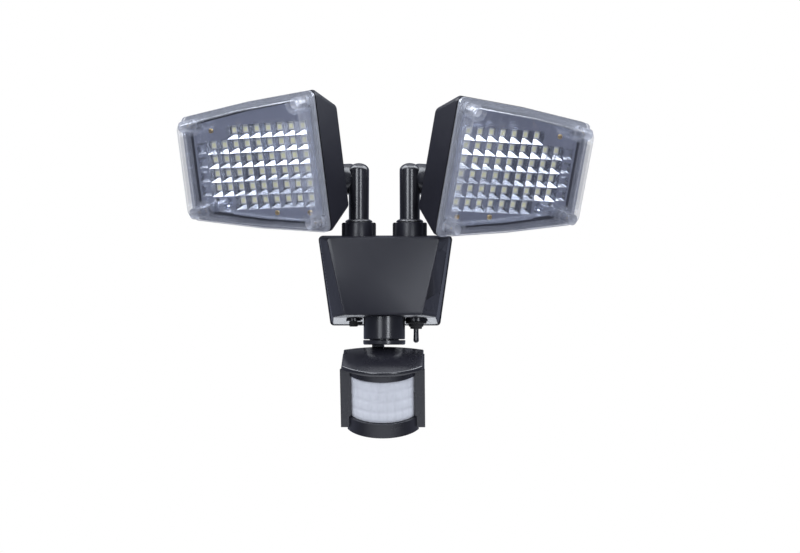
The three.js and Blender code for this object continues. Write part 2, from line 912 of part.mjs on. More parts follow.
// The LEDs stand in rows, and the first and last rows are shorter at their outer end.
function ledPlaces(side) {
  const places = [];
  for (let row = 0; row < led.rows; row += 1) {
    const endRow = row === 0 || row === led.rows - 1;
    for (let column = 0; column < led.columns - (endRow ? led.shortBy : 0); column += 1) {
      places.push({
        across: side * (head.innerEdge + led.gridInset + (column - (led.columns - 1) / 2) * led.pitch),
        up: head.rise + (row - (led.rows - 1) / 2) * led.pitch,
      });
    }
  }
  return places;
}

const square = ({ across, up }, half) => rectangle(across - half, across + half, up - half, up + half);

const cornerRelief = (side, from, to) => lampCorners(side).map(
  (place) => rodAt(place, cover.bossRadius + clearance * 3, from, to),
);

function ledBoard(side) {
  const board = cut(
    slab(lampOutline(side, led.boardInset), ledBoardBack, ledBoardFront),
    ...cornerRelief(side, ledBoardBack - past, ledBoardFront + past),
  );
  const packages = ledPlaces(side).map((place) => slab(
    square(place, led.size / 2), ledBoardFront - boardThickness / 4, ledBoardFront + led.height,
  ));
  return facingFront(join(board, ...packages));
}

const reflectorBack = ledBoardFront + led.height + clearance;

function lampReflector(side) {
  const front = reflectorBack + reflector.depth;
  const block = cut(
    slab(lampOutline(side, reflector.inset), reflectorBack, front),
    ...cornerRelief(side, reflectorBack - past, front + past),
  );
  const mouth = (led.pitch - reflector.ridge) / 2;
  const pockets = ledPlaces(side).map((place) => loft(
    [reflectorBack, square(place, reflector.pocketFloor / 2)],
    [front, square(place, mouth)],
  ));
  return facingFront(cut(block, ...pockets));
}

function lensCover(side) {
  const corners = lampCorners(side);
  const wells = (radius) => corners.map((place) => rodAt(
    place, radius, flangeBack - past * 2, tubFront + past, sides.medium,
  ));
  const { tubInset, tubDraft, rimWall } = cover;
  const outside = loft(
    [flangeBack, lampOutline(side, tubInset)],
    [tubFront - tubDraft, lampOutline(side, tubInset + tubDraft)],
    [tubFront, lampOutline(side, tubInset + tubDraft * 2)],
  );
  const withinRim = loft(
    [flangeFront, lampOutline(side, tubInset + rimWall)],
    [tubFront + past, lampOutline(side, tubInset + rimWall + tubDraft)],
  );
  const inside = cut(loft(
    [flangeBack - past, lampOutline(side, tubInset + cover.wall)],
    [tubFront - cover.wall, lampOutline(side, tubInset + cover.wall + tubDraft)],
  ), ...wells(cover.wellRadius + cover.wall));
  const flange = slab(lampOutline(side, 0), flangeBack, flangeFront);
  const hollowWells = common(join(...wells(cover.wellRadius)), withinRim);
  const posts = corners.map((place) => rodAt(
    place, cover.bossRadius, flangeBack, flangeBack + cover.bossDepth,
  ));
  const pilots = corners.map((place) => rodAt(
    place, lampScrew.radius + clearance, flangeBack - past, flangeBack + lampScrew.engagement + clearance,
  ));
  return facingFront(cut(join(cut(join(flange, outside), inside, hollowWells), ...posts), ...pilots));
}

function lampScrewSolid(place) {
  const seat = lampSeat - clearance;
  return facingFront(join(
    rodAt(place, lampScrew.headRadius, seat - lampScrew.headHeight, seat),
    rodAt(place, lampScrew.radius, seat - past, flangeBack + lampScrew.engagement),
  ));
}

function lampParts(name, side, base, tilt) {
  const lamp = frame(base, [0, 0, knuckleHeight], [tilt, 0, 0]);
  add(lamp, `${name}_lamp_shell`, lampShell(side), 'satinBlack');
  add(lamp, `${name}_lamp_gasket`, lampGasket(side), 'rubber');
  add(lamp, `${name}_led_board`, ledBoard(side), 'whiteBoard');
  add(lamp, `${name}_reflector`, lampReflector(side), 'chrome');
  add(lamp, `${name}_lens_cover`, lensCover(side), 'clear');
  lampCorners(side).forEach((place) => {
    add(lamp, `${name}_lamp_screw_${place.name}`, lampScrewSolid(place), 'brass');
  });
}

lampParts('left', -1, armParts('left', -1, pose.leftSwivel), pose.leftTilt);
lampParts('right', 1, armParts('right', 1, pose.rightSwivel), pose.rightTilt);

// ---------------------------------------------------------------- toggle switch

const leverPivot = toggleFace - clearance - toggle.flangeThickness;
const swayAtRing = toggle.ringHeight * Math.tan(THREE.MathUtils.degToRad(toggle.leverSway));
const bootBore = toggle.leverRadius + clearance + swayAtRing;

function toggleBoot() {
  const top = toggleFace - clearance;
  const ring = bootBore + toggle.ringWall;
  const skirtBottom = leverPivot - toggle.skirtHeight;
  return turned([
    [bootBore, top], [toggle.flangeRadius, top], [toggle.flangeRadius, leverPivot],
    [toggle.skirtRadius, leverPivot], [toggle.skirtRadius, skirtBottom], [ring, skirtBottom],
    [ring, leverPivot - toggle.ringHeight], [bootBore, leverPivot - toggle.ringHeight],
  ], sides.medium);
}

function toggleLever() {
  const tip = leverPivot - toggle.leverLength;
  const { leverRadius } = toggle;
  const crown = quarterRound(leverRadius, leverPivot, leverRadius);
  const end = quarterRound(leverRadius, -tip - leverRadius, leverRadius)
    .map(([radius, depth]) => [radius, -depth]);
  return turned([...crown.reverse(), ...end], sides.medium);
}

function switchBody() {
  const bushEnd = leverPivot + toggle.leverRadius + clearance;
  return join(
    box(-toggle.bodyWidth / 2, toggle.bodyWidth / 2, -toggle.bodyDepth / 2, toggle.bodyDepth / 2,
      switchFloor, switchFloor + toggle.bodyHeight),
    rod(toggle.bushRadius, bushEnd, switchFloor + past),
  );
}

const switchFrame = frame(unit, [...togglePlace, 0]);
add(switchFrame, 'toggle_boot', toggleBoot(), 'rubber');
add(switchFrame, 'toggle_lever', toggleLever(), 'rubber');
add(switchFrame, 'switch_body', switchBody(), 'satinBlack');

// ---------------------------------------------------------------- panel socket

function panelSocket() {
  const mouth = socketFace + clearance;
  const floor = bodyBottom + wall + clearance;
  const barrel = join(
    rod(socket.radius, mouth, mouth + socket.height),
    rod(socket.radius + socket.flangeWidth, floor, floor + socket.flangeThickness),
  );
  const bore = tube(socket.bore, socket.pinRadius, mouth - past, mouth + socket.boreDepth, sides.small);
  return cut(barrel, bore);
}

// A rubber cap closes the socket, on a short strap that reaches towards the neck.
function dustCap() {
  const top = socketFace - clearance;
  const reach = socket.besideNeck - socket.strapGap;
  return join(
    turned([
      [0, top - socket.capHeight], [socket.radius - socket.capEdge, top - socket.capHeight],
      [socket.radius, top - socket.capHeight + socket.capEdge], [socket.radius, top], [0, top],
    ], sides.medium),
    box(
      0, reach, -socket.strapWidth / 2, socket.strapWidth / 2,
      top - socket.strapThickness, top - clearance,
    ),
  );
}

const socketFrame = frame(unit, [...socketPlace, 0]);
add(socketFrame, 'panel_socket', panelSocket(), 'satinBlack');
add(socketFrame, 'socket_dust_cap', dustCap(), 'rubber');

// ---------------------------------------------------------------- sensor neck and swivel

const neckBottom = bodyBottom - neck.drop;
const neckBore = neck.radius - neck.wall;

function sensorNeck() {
  const flangeBottom = bodyBottom + body.faceBottomRise + wall + clearance;
  const top = flangeBottom + neck.flangeThickness;
  return turned([
    [swivel.spigotRadius + clearance, neckBottom], [neck.radius, neckBottom],
    [neck.radius, flangeBottom], [neck.radius + neck.flangeWidth, flangeBottom],
    [neck.radius + neck.flangeWidth, top], [neckBore, top],
    [neckBore, neckBottom + neck.floor], [swivel.spigotRadius + clearance, neckBottom + neck.floor],
  ]);
}

add(unit, 'sensor_neck', sensorNeck(), 'satinBlack');

const ringTop = neckBottom - swivel.seam;
const ringBottom = ringTop - swivel.thickness;
const tiltAxis = [swivel.pivotBehind, ringBottom - swivel.pivotDrop];
const tabEnd = -clearance;
const tabStart = tabEnd - swivel.tabWidth;
const lugTo = swivel.tabWidth;

function sensorSwivel() {
  const [behind, up] = tiltAxis;
  const snapBottom = neckBottom + neck.floor + clearance;
  const body = turned([
    [0, ringBottom], [neck.radius + swivel.rimWidth, ringBottom], [neck.radius + swivel.rimWidth, ringTop],
    [swivel.spigotRadius, ringTop], [swivel.spigotRadius, snapBottom],
    [neckBore - clearance, snapBottom], [neckBore - clearance, snapBottom + swivel.snapHeight],
    [0, snapBottom + swivel.snapHeight],
  ]);
  const tab = join(
    box(tabStart, tabEnd, behind - swivel.tabRadius, behind + swivel.tabRadius, up, ringBottom + past),
    moved(alongX(rod(swivel.tabRadius, tabStart, tabEnd, sides.large)), 0, behind, up),
  );
  const hole = moved(alongX(rod(swivel.boltRadius + clearance, tabStart - past, past)), 0, behind, up);
  return cut(join(body, tab), hole);
}

add(unit, 'sensor_swivel', sensorSwivel(), 'satinBlack');

const sensorFrame = frame(unit, [0, ...tiltAxis]);
const boltHeadFrom = tabStart - clearance - swivel.boltHeadHeight;
const nutTo = lugTo + clearance + swivel.nutHeight;
const tiltBolt = join(
  rod(swivel.boltHeadRadius, boltHeadFrom, tabStart - clearance),
  rod(swivel.boltRadius, tabStart - past, nutTo + past),
);
add(sensorFrame, 'sensor_tilt_bolt', alongX(tiltBolt), 'steel');
add(sensorFrame, 'sensor_tilt_nut', alongX(cut(
  rod(swivel.nutRadius, lugTo + clearance, nutTo, 6),
  rod(swivel.boltRadius + clearance, lugTo, nutTo + past),
)), 'steel');

// ---------------------------------------------------------------- motion sensor

// The sensor is drawn from its tilt axis. Its plan outlines run across and forwards.
const sensorHead = frame(sensorFrame, [0, 0, 0], [pose.sensorTilt, 0, 0]);
const capTop = sensor.capAbovePivot;
const capBottom = capTop - sensor.capThickness;
const caseTop = capBottom - clearance;
const caseBottom = caseTop - sensor.height;
const sideStart = sensor.rearOffset + sensor.rearBow;
const wingFront = sideStart + sensor.sideDepth;
const wingBack = wingFront - sensor.wingThickness;

// Points across an arc that bows forwards from its ends, or backwards where bow is negative.
function bowedLine(halfWidth, forward, bow, steps = 6) {
  const radius = (halfWidth * halfWidth + bow * bow) / (2 * Math.abs(bow));
  const reach = Math.asin(halfWidth / radius);
  return Array.from({ length: steps + 1 }, (_, i) => {
    const angle = THREE.MathUtils.lerp(-reach, reach, i / steps);
    const height = radius * (Math.cos(angle) - Math.cos(reach));
    return point(radius * Math.sin(angle), -forward - Math.sign(bow) * height);
  });
}

function capOutline(inset) {
  const half = sensor.capWidth / 2 - inset;
  return [
    ...bowedLine(half, wingFront, sensor.visorBow - inset, 12),
    ...bowedLine(half, sideStart + inset, -sensor.rearBow).reverse(),
  ];
}

add(sensorHead, 'sensor_cap', loft(
  [capBottom, capOutline(0)],
  [capTop - sensor.capEdge, capOutline(0)],
  [capTop, capOutline(sensor.capEdge)],
), 'satinBlack');

const dialPlaces = [['time', -1], ['sensitivity', 0], ['dusk', 1]].map(([name, step]) => ({
  name,
  across: step * dial.spacing,
  up: dial.setback - wingFront,
}));

function sensorCase() {
  const half = sensor.width / 2;
  const front = wingBack - clearance;
  const plan = (inset, to) => [
    point(-half + inset, -to), point(half - inset, -to),
    ...bowedLine(half - inset, sideStart + inset, -sensor.rearBow).reverse(),
  ];
  const lug = join(
    alongX(rod(swivel.tabRadius, 0, lugTo, sides.large)),
    box(0, lugTo, -sensor.rearOffset - wall / 2, 0, -swivel.tabRadius, swivel.tabRadius),
  );
  const hole = alongX(rod(swivel.boltRadius + clearance, -past, lugTo + past));
  const hollow = slab(plan(wall, front + past), caseBottom + wall, caseTop - wall);
  const dialHoles = dialPlaces.map((place) => rodAt(
    place, dial.radius + clearance, caseBottom - past, caseBottom + wall + past, sides.medium,
  ));
  return cut(join(cut(slab(plan(0, front), caseBottom, caseTop), hollow, ...dialHoles), lug), hole);
}

add(sensorHead, 'sensor_case', sensorCase(), 'satinBlack');

// The lens is a part of a cylinder that comes through the bezel's window.
const lensAxis = -wingFront + Math.sqrt(sensor.lensRadius ** 2 - (sensor.lensWidth / 2) ** 2);
const bandTop = caseBottom + sensor.bandHeight;
const browBottom = caseTop - sensor.browHeight;

const lensRod = (radius, from, to) => moved(rod(radius, from, to, sides.lens), 0, lensAxis, 0);
const aheadOf = (forward) => box(
  -sensor.wingWidth, sensor.wingWidth, -forward - sensor.width, -forward, caseBottom * 2, capTop,
);

function sensorBezel() {
  const half = sensor.wingWidth / 2;
  const plateSheet = box(-half, half, -wingFront, -wingBack, caseBottom, caseTop);
  const bandBottom = caseBottom - sensor.bandDrop;
  const bands = common(join(
    lensRod(sensor.bandRadius, bandBottom, bandTop),
    lensRod(sensor.browRadius, browBottom, caseTop),
  ), aheadOf(wingBack));
  const window = lensRod(sensor.lensRadius + clearance, bandTop, browBottom);
  const hollow = lensRod(sensor.lensRadius - sensor.wingThickness, bandBottom + wall, caseTop - wall);
  return cut(join(plateSheet, bands), window, hollow);
}

add(sensorHead, 'sensor_bezel', sensorBezel(), 'satinBlack');

function sensorLens() {
  const shell = moved(tube(
    sensor.lensRadius, sensor.lensRadius - sensor.lensWall,
    bandTop + clearance, browBottom - clearance, sides.lens,
  ), 0, lensAxis, 0);
  return common(shell, aheadOf(wingFront - sensor.lensTuck));
}

add(sensorHead, 'sensor_lens', sensorLens(), 'lens');

const boardMiddle = (bandTop + browBottom) / 2;
const boardFront = -(wingFront - sensor.boardSetback);
add(sensorHead, 'sensor_board', box(
  -sensor.boardWidth / 2, sensor.boardWidth / 2, boardFront, boardFront + boardThickness,
  boardMiddle - sensor.boardHeight / 2, boardMiddle + sensor.boardHeight / 2,
), 'greenBoard');

const pyro = turned([
  [0, clearance], [sensor.pyroRadius, clearance], [sensor.pyroRadius, clearance + sensor.pyroFlange],
  [sensor.pyroRadius - sensor.pyroStep, clearance + sensor.pyroFlange],
  [sensor.pyroRadius - sensor.pyroStep, sensor.pyroHeight],
  [0, sensor.pyroHeight],
], sides.medium);
add(sensorHead, 'sensor_pyro_element', moved(facingFront(pyro), 0, boardFront, boardMiddle), 'steel');

dialPlaces.forEach(({ name, across, up }) => {
  const bottom = caseBottom - dial.proud;
  const inner = caseBottom + wall + clearance;
  const knob = turned([
    [0, bottom], [dial.radius, bottom], [dial.radius, inner], [dial.radius + dial.flangeWidth, inner],
    [dial.radius + dial.flangeWidth, inner + dial.flangeThickness], [0, inner + dial.flangeThickness],
  ], sides.medium);
  const slot = box(
    -dial.radius - past, dial.radius + past, -dial.slotWidth / 2, dial.slotWidth / 2,
    bottom - past, bottom + dial.slotDepth,
  );
  add(sensorHead, `${name}_dial`, moved(cut(knob, slot), across, up, 0), 'satinBlack');
});

export default light;
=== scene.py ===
# A twin-head LED floodlight with a hanging motion sensor, for a wall. Lengths are written in millimetres
# and turned into metres as each mesh is made. +Z is up, the front faces -Y, and the frame's origin is the
# middle of the wall plate's back.

import math

import bmesh
import bpy
from mathutils import Matrix, Vector


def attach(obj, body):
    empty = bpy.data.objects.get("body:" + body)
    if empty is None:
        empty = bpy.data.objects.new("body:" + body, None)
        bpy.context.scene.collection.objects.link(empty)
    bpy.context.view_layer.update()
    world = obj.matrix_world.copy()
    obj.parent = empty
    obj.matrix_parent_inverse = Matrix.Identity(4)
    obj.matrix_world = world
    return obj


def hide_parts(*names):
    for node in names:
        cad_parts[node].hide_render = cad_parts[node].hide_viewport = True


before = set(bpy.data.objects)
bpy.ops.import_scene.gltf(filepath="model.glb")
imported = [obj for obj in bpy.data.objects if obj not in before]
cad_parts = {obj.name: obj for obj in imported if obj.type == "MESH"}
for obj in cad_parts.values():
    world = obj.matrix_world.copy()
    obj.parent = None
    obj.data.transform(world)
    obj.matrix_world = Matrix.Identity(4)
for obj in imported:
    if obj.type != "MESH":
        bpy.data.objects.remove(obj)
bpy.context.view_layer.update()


# ---------------------------------------------------------------- rear housing
# A glossy black moulded tray against the wall. Its sides flare towards the back, where a lip runs round
# them, and it carries the rear halves of the two collars that the arms turn in.

PARTING_TO_WALL = 32.0
CLEARANCE = 0.3
WALL = 2.4
BODY_TOP, BODY_HEIGHT = 36.3, 67.0
BODY_BOTTOM = BODY_TOP - BODY_HEIGHT
TOP_HALF, BOTTOM_HALF = 53.0, 42.5
HOUSING_DEPTH, HOUSING_FLARE, HOUSING_DROP = 27.7, 1.9, 5.5
LIP_DEPTH, LIP_WIDTH = 6.0, 0.8
COLLAR_FRONT, COLLAR_REAR, COLLAR_HEIGHT, COLLAR_EDGE = 11.7, 14.0, 10.6, 1.2
ARM_OFFSET = 20.8
COVER_DEPTH, FACE_TOP_DROP = 30.0, 3.0
SCREW_INSET, SCREW_ROWS = 7.6, (10, 57)
CORNER_RADIUS, LIP_RADIUS = 2.5, 3.2
COLLAR_TOP = BODY_TOP + COLLAR_HEIGHT
ARM_SEAT = BODY_TOP - WALL - FACE_TOP_DROP * COLLAR_REAR / COVER_DEPTH

unit = Matrix.Translation((0, -PARTING_TO_WALL / 1000, 0))


def rounded(corners, radius, steps=6):
    """An outline with a round at each corner. radius may depend on half the corner's angle."""
    turn = sum(corners[i - 1][0] * c[1] - c[0] * corners[i - 1][1] for i, c in enumerate(corners))
    corners = [Vector(c) for c in (corners if turn > 0 else corners[::-1])]
    outline = []
    for i, corner in enumerate(corners):
        back = (corners[i - 1] - corner).normalized()
        onward = (corners[(i + 1) % len(corners)] - corner).normalized()
        half = math.acos(max(-1.0, min(1.0, back.dot(onward)))) / 2
        size = radius(half) if callable(radius) else radius
        centre = corner + (back + onward).normalized() * (size / math.sin(half))
        first = corner + back * (size / math.tan(half)) - centre
        start, sweep = math.atan2(first.y, first.x), math.pi - 2 * half
        outline += [centre + size * Vector((math.cos(start + sweep * k / steps),
                                            math.sin(start + sweep * k / steps))) for k in range(steps + 1)]
    return outline


def solid(name, points, faces):
    """A closed mesh from points in millimetres, its faces turned outwards."""
    mesh = bpy.data.meshes.new(name)
    mesh.from_pydata([Vector(p) / 1000 for p in points], [], faces)
    shape = bmesh.new()
    shape.from_mesh(mesh)
    bmesh.ops.remove_doubles(shape, verts=shape.verts, dist=1e-7)
    bmesh.ops.recalc_face_normals(shape, faces=shape.faces)
    shape.to_mesh(mesh)
    shape.free()
    made = bpy.data.objects.new(name, mesh)
    bpy.context.scene.collection.objects.link(made)
    return made


def drawn(name, *sections):
    """A solid drawn forwards through outlines seen from the front, each given as (depth, outline)."""
    count = len(sections[0][1])
    points = [(p[0], -depth, p[1]) for depth, outline in sections for p in outline]
    faces = [(s + i, s + (i + 1) % count, s + count + (i + 1) % count, s + count + i)
             for s in range(0, (len(sections) - 1) * count, count) for i in range(count)]
    faces += [tuple(range(count)), tuple(range((len(sections) - 1) * count, len(sections) * count))]
    return solid(name, points, faces)


def turned(name, profile, facets=72, ring=False):
    """A solid turned about its upright axis, from (radius, height) corners. A ring closes on itself."""
    points, rings = [], []
    for radius, height in profile:
        count = facets if radius else 1
        rings.append(range(len(points), len(points) + count))
        points += [(radius * math.cos(math.tau * k / facets), radius * math.sin(math.tau * k / facets),
                    height)
                   for k in range(count)]
    faces = []
    for low, high in list(zip(rings, rings[1:])) + ([(rings[-1], rings[0])] if ring else []):
        for k in range(facets):
            corners = [low[k % len(low)], low[(k + 1) % facets % len(low)],
                       high[(k + 1) % facets % len(high)], high[k % len(high)]]
            corners = list(dict.fromkeys(corners))
            if len(corners) > 2:
                faces.append(corners)
    return solid(name, points, faces)


def brick(name, low, high):
    """A block between two corners, to cut with or to build on."""
    (a, b, c), (d, e, f) = low, high
    return solid(name, [(x, y, z) for x in (a, d) for y in (b, e) for z in (c, f)],
                 [(0, 1, 3, 2), (4, 6, 7, 5), (0, 4, 5, 1), (2, 3, 7, 6), (0, 2, 6, 4), (1, 5, 7, 3)])


def rod(name, radius, low, high, facets=72):
    return turned(name, [(0, low), (radius, low), (radius, high), (0, high)], facets)


FORWARDS, SIDEWAYS = Matrix.Rotation(math.pi / 2, 4, "X"), Matrix.Rotation(math.pi / 2, 4, "Y")


def put(piece, place):
    """Moves a piece's mesh to its place in the frame."""
    piece.data.transform(place)
    return piece


def at(x, y, z):
    return Matrix.Translation((x / 1000, y / 1000, z / 1000))


def twin(piece):
    """A second piece of the same shape."""
    other = piece.copy()
    other.data = piece.data.copy()
    bpy.context.scene.collection.objects.link(other)
    return other


def work(piece, operation, *tools):
    """Cuts, joins or keeps what is common, and throws the tools away."""
    for tool in tools:
        step = piece.modifiers.new("work", "BOOLEAN")
        step.operation, step.object, step.solver = operation, tool, "EXACT"
    result = bpy.data.meshes.new_from_object(piece.evaluated_get(bpy.context.evaluated_depsgraph_get()))
    piece.modifiers.clear()
    piece.data = result
    for tool in tools:
        bpy.data.objects.remove(tool)
    return piece


def joined(name, parts):
    """Loose solids as one mesh."""
    shape = bmesh.new()
    for part in parts:
        shape.from_mesh(part.data)
        bpy.data.objects.remove(part)
    mesh = bpy.data.meshes.new(name)
    shape.to_mesh(mesh)
    shape.free()
    whole = bpy.data.objects.new(name, mesh)
    bpy.context.scene.collection.objects.link(whole)
    return whole


def eased(piece, width, segments=3, smooth=32):
    """Rounds a piece's edges by width, in millimetres, and shades its curves smooth."""
    shape = bmesh.new()
    shape.from_mesh(piece.data)
    for face in shape.faces:
        face.smooth = True
    for edge in shape.edges:
        edge.smooth = edge.calc_face_angle(0) < math.radians(smooth)
    shape.to_mesh(piece.data)
    shape.free()
    if width:
        round_off = piece.modifiers.new("eased edges", "BEVEL")
        round_off.width, round_off.segments = width / 1000, segments
        round_off.limit_method, round_off.angle_limit = "ANGLE", math.radians(smooth)
        round_off.harden_normals = True
        round_off.miter_outer = "MITER_ARC"
    return piece


class Level:
    """A number that changes over a surface. Used in an expression, it adds the Math nodes for it."""

    def __init__(self, finish, socket):
        self.finish, self.socket = finish, socket

    def maths(self, operation, *values):
        return self.finish.node("Math", {"operation": operation}, dict(enumerate(values)))["Value"]

    def __add__(self, other):
        return self.maths("ADD", self, other)

    def __sub__(self, other):
        return self.maths("SUBTRACT", self, other)

    def __rsub__(self, other):
        return self.maths("SUBTRACT", other, self)

    def __mul__(self, other):
        return self.maths("MULTIPLY", self, other)

    __radd__, __rmul__ = __add__, __mul__


class Finish:
    """A surface finish. Plain values are set on its shader, and nodes are added one at a time."""

    def __init__(self, name, **values):
        self.material = bpy.data.materials.new(name)
        self.material.use_nodes = True
        self.tree = self.material.node_tree
        self.shader = self.tree.nodes["Principled BSDF"]
        for socket, value in values.items():
            self.shader.inputs[socket.replace("_", " ")].default_value = value
        self.grain = self.node("TexCoord")["Object"]

    def node(self, kind, settings=None, values=None):
        made = self.tree.nodes.new("ShaderNode" + kind)
        for setting, value in (settings or {}).items():
            setattr(made, setting, value)
        for socket, value in (values or {}).items():
            if isinstance(value, Level):
                self.tree.links.new(value.socket, made.inputs[socket])
            else:
                made.inputs[socket].default_value = value
        return {output.name: Level(self, output) for output in made.outputs if output.enabled}

    def noise(self, size, detail=3.0, seed=0.0):
        """Soft random blotches about size millimetres across, from 0 to 1."""
        settings = {"noise_dimensions": "4D"}
        return self.node("TexNoise", settings, {"Vector": self.grain, "Scale": 1000 / size, "Detail": detail,
                                                "W": seed})["Fac"]

    def set(self, **levels):
        for socket, level in levels.items():
            self.tree.links.new(level.socket, self.shader.inputs[socket.replace("_", " ")])
        return self

    def two_tone(self, share, low, high):
        """A colour between two, by a share from 0 to 1."""
        mixed = self.node("Mix", {"data_type": "RGBA"}, {0: share, 6: (*low, 1), 7: (*high, 1)})
        return mixed["Result"]

    def bumped(self, height, depth, strength=1.0):
        """A relief depth millimetres deep."""
        return self.node("Bump", None, {"Height": height, "Distance": depth / 1000,
                                        "Strength": strength})["Normal"]


def moulded(name, dark, light, roughness, spread, texture, relief, coat=0.0, seed=0.0):
    """Moulded plastic: faint colour drift, handling marks in its gloss, and the texture of its mould."""
    made = Finish(name, IOR=1.5, Coat_Weight=coat, Coat_Roughness=0.2)
    drift = made.noise(38, 4, seed)
    marks = made.noise(16, 3, seed + 3)
    skin = made.noise(texture, 2, seed + 7)
    made.set(Base_Color=made.two_tone(drift * 0.7 + skin * 0.3, dark, light),
             Roughness=marks * spread + (roughness - spread / 2), Normal=made.bumped(skin, relief, 0.6))
    return made


def piece(made, name, body, slot_name, finish, *nodes):
    """Names a piece, and gives it its finish, its moving body and the nodes that it stands for."""
    made.name = name
    made.data.materials.clear()
    made.data.materials.append(finish.material)
    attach(made, body)
    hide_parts(*nodes)


def trapezoid(top_half, bottom_half, top, bottom, radius):
    return rounded([(-bottom_half, bottom), (bottom_half, bottom), (top_half, top), (-top_half, top)], radius)


def parting_outline(inset):
    return trapezoid(TOP_HALF - inset, BOTTOM_HALF - inset, BODY_TOP - inset, BODY_BOTTOM + inset,
                     CORNER_RADIUS)


def half_width_at(below):
    """Half the body's width at the parting line, below its top."""
    return TOP_HALF - (TOP_HALF - BOTTOM_HALF) * below / BODY_HEIGHT


def rear_outline(inset):
    return trapezoid(TOP_HALF + HOUSING_FLARE - inset, BOTTOM_HALF + HOUSING_FLARE - inset,
                     BODY_TOP - inset, BODY_BOTTOM - HOUSING_DROP + inset, LIP_RADIUS)


def collars(radius, forward):
    """The front or rear half of both collars."""
    halves = []
    for side in (-1, 1):
        ring = turned("collar", [(0, ARM_SEAT), (radius, ARM_SEAT), (radius, COLLAR_TOP - COLLAR_EDGE),
                                 (radius - COLLAR_EDGE * 0.3, COLLAR_TOP - COLLAR_EDGE * 0.3),
                                 (radius - COLLAR_EDGE, COLLAR_TOP), (0, COLLAR_TOP)])
        near, far = (CLEARANCE / 2, 40) if forward else (-40, -CLEARANCE / 2)
        keep = brick("half", (-40, -far, -10), (40, -near, 80))
        halves.append(put(work(ring, "INTERSECT", keep), at(side * ARM_OFFSET, 0, 0)))
    return halves


def neck_and_arm_bores():
    bores = [turned("bore", [(0, BODY_BOTTOM - 8), (17.2, BODY_BOTTOM - 8), (17.2, BODY_BOTTOM + 5.4),
                             (0, BODY_BOTTOM + 5.4)])]
    for side in (-1, 1):
        bore = turned("bore",
                      [(0, ARM_SEAT - 1), (8, ARM_SEAT - 1), (8, COLLAR_TOP + 1), (0, COLLAR_TOP + 1)])
        bores.append(put(bore, at(side * ARM_OFFSET, 0, 0)))
    return bores


TOGGLE_PLACE, TOGGLE_FACE = (25.7, 10.0), BODY_BOTTOM - HOUSING_DROP * 10 / (HOUSING_DEPTH - LIP_DEPTH) - 0.2
SOCKET_PLACE, SOCKET_FACE = (-25.5, 8.0), BODY_BOTTOM - HOUSING_DROP * 8 / (HOUSING_DEPTH - LIP_DEPTH) - 0.6

lip_start = HOUSING_DEPTH - LIP_DEPTH
tray = drawn("tray", (-HOUSING_DEPTH, rear_outline(0.4 - LIP_WIDTH)),
             (-HOUSING_DEPTH + 0.6, rear_outline(-LIP_WIDTH)),
             (-lip_start - LIP_WIDTH, rear_outline(-LIP_WIDTH)), (-lip_start, rear_outline(0)),
             (-CLEARANCE / 2, parting_outline(0)))
hollow = drawn("hollow", (-HOUSING_DEPTH + WALL, rear_outline(WALL)), (-lip_start, rear_outline(WALL)),
               (1, parting_outline(WALL)))
work(tray, "DIFFERENCE", hollow)
pads = []
for place, face, radius in ((TOGGLE_PLACE, TOGGLE_FACE, 9.6), (SOCKET_PLACE, SOCKET_FACE, 6.0)):
    pad = turned("pad", [(0, face), (radius, face), (radius, BODY_BOTTOM + WALL), (0, BODY_BOTTOM + WALL)])
    pads.append(put(pad, at(*place, 0)))
work(tray, "UNION", *collars(COLLAR_REAR, False), *pads)
seats = []
for place, face, wide, narrow in ((TOGGLE_PLACE, TOGGLE_FACE, 8.9, 3.3),
                                  (SOCKET_PLACE, SOCKET_FACE, 4.2, 3.9)):
    seat = turned("seat", [(0, -90), (wide, -90), (wide, face), (narrow, face), (narrow, 0), (0, 0)])
    seats.append(put(seat, at(*place, 0)))
keyholes = []
for side in (-1, 1):
    keyhole = drawn("keyhole",
                    (-HOUSING_DEPTH - 2, rounded([(-2.5, -8), (2.5, -8), (2.5, 2.5), (-2.5, 2.5)], 2.4)),
                    (-HOUSING_DEPTH + 5, rounded([(-2.5, -8), (2.5, -8), (2.5, 2.5), (-2.5, 2.5)], 2.4)))
    entry = put(rod("entry", 4.3, -HOUSING_DEPTH - 1, -HOUSING_DEPTH + 8), FORWARDS)
    put(entry, at(0, 0, -8))
    keyholes += [put(keyhole, at(side * 13, 0, 0)), put(entry, at(side * 13, 0, 0))]
SCREW_PLACES = [(side * (half_width_at(below) - SCREW_INSET), BODY_TOP - below)
                for side in (-1, 1) for below in SCREW_ROWS]
screw_wells = []
posts = []
for across, up in SCREW_PLACES:
    well = put(turned("well", [(0, -40), (3.3, -40), (3.3, -23.3), (1.8, -23.3), (1.8, 3), (0, 3)], 40),
               FORWARDS)
    screw_wells.append(put(well, at(across, 0, up)))
    posts.append(put(put(rod("post", 5.4, -HOUSING_DEPTH + 1.2, -CLEARANCE / 2, 40), FORWARDS),
                     at(across, 0, up)))
work(tray, "UNION", *posts)
work(tray, "DIFFERENCE", *neck_and_arm_bores(), *seats, *keyholes, *screw_wells)
put(eased(tray, 0.35), unit)
housing_black = moulded("housing_black", (0.006, 0.006, 0.009), (0.010, 0.010, 0.014), 0.20, 0.08, 0.9, 0.01)
piece(tray, "housing_tray", "wall_unit", "housing_black", housing_black, "rear_housing")


# ---------------------------------------------------------------- front cover
# A tapered cover in fine-textured black ABS, with a flat face that leans back a little and a row of short
# vent slots down each side where it meets the housing. Four screws from behind hold it.

FACE_TOP_INSET, FACE_BOTTOM_INSET, FACE_RISE = 7.2, 10.8, 1.6
VENTS, VENT_PITCH, VENT_WIDTH, VENT_DEPTH, VENT_START = 13, 2.7, 1.3, 2.2, 15.0


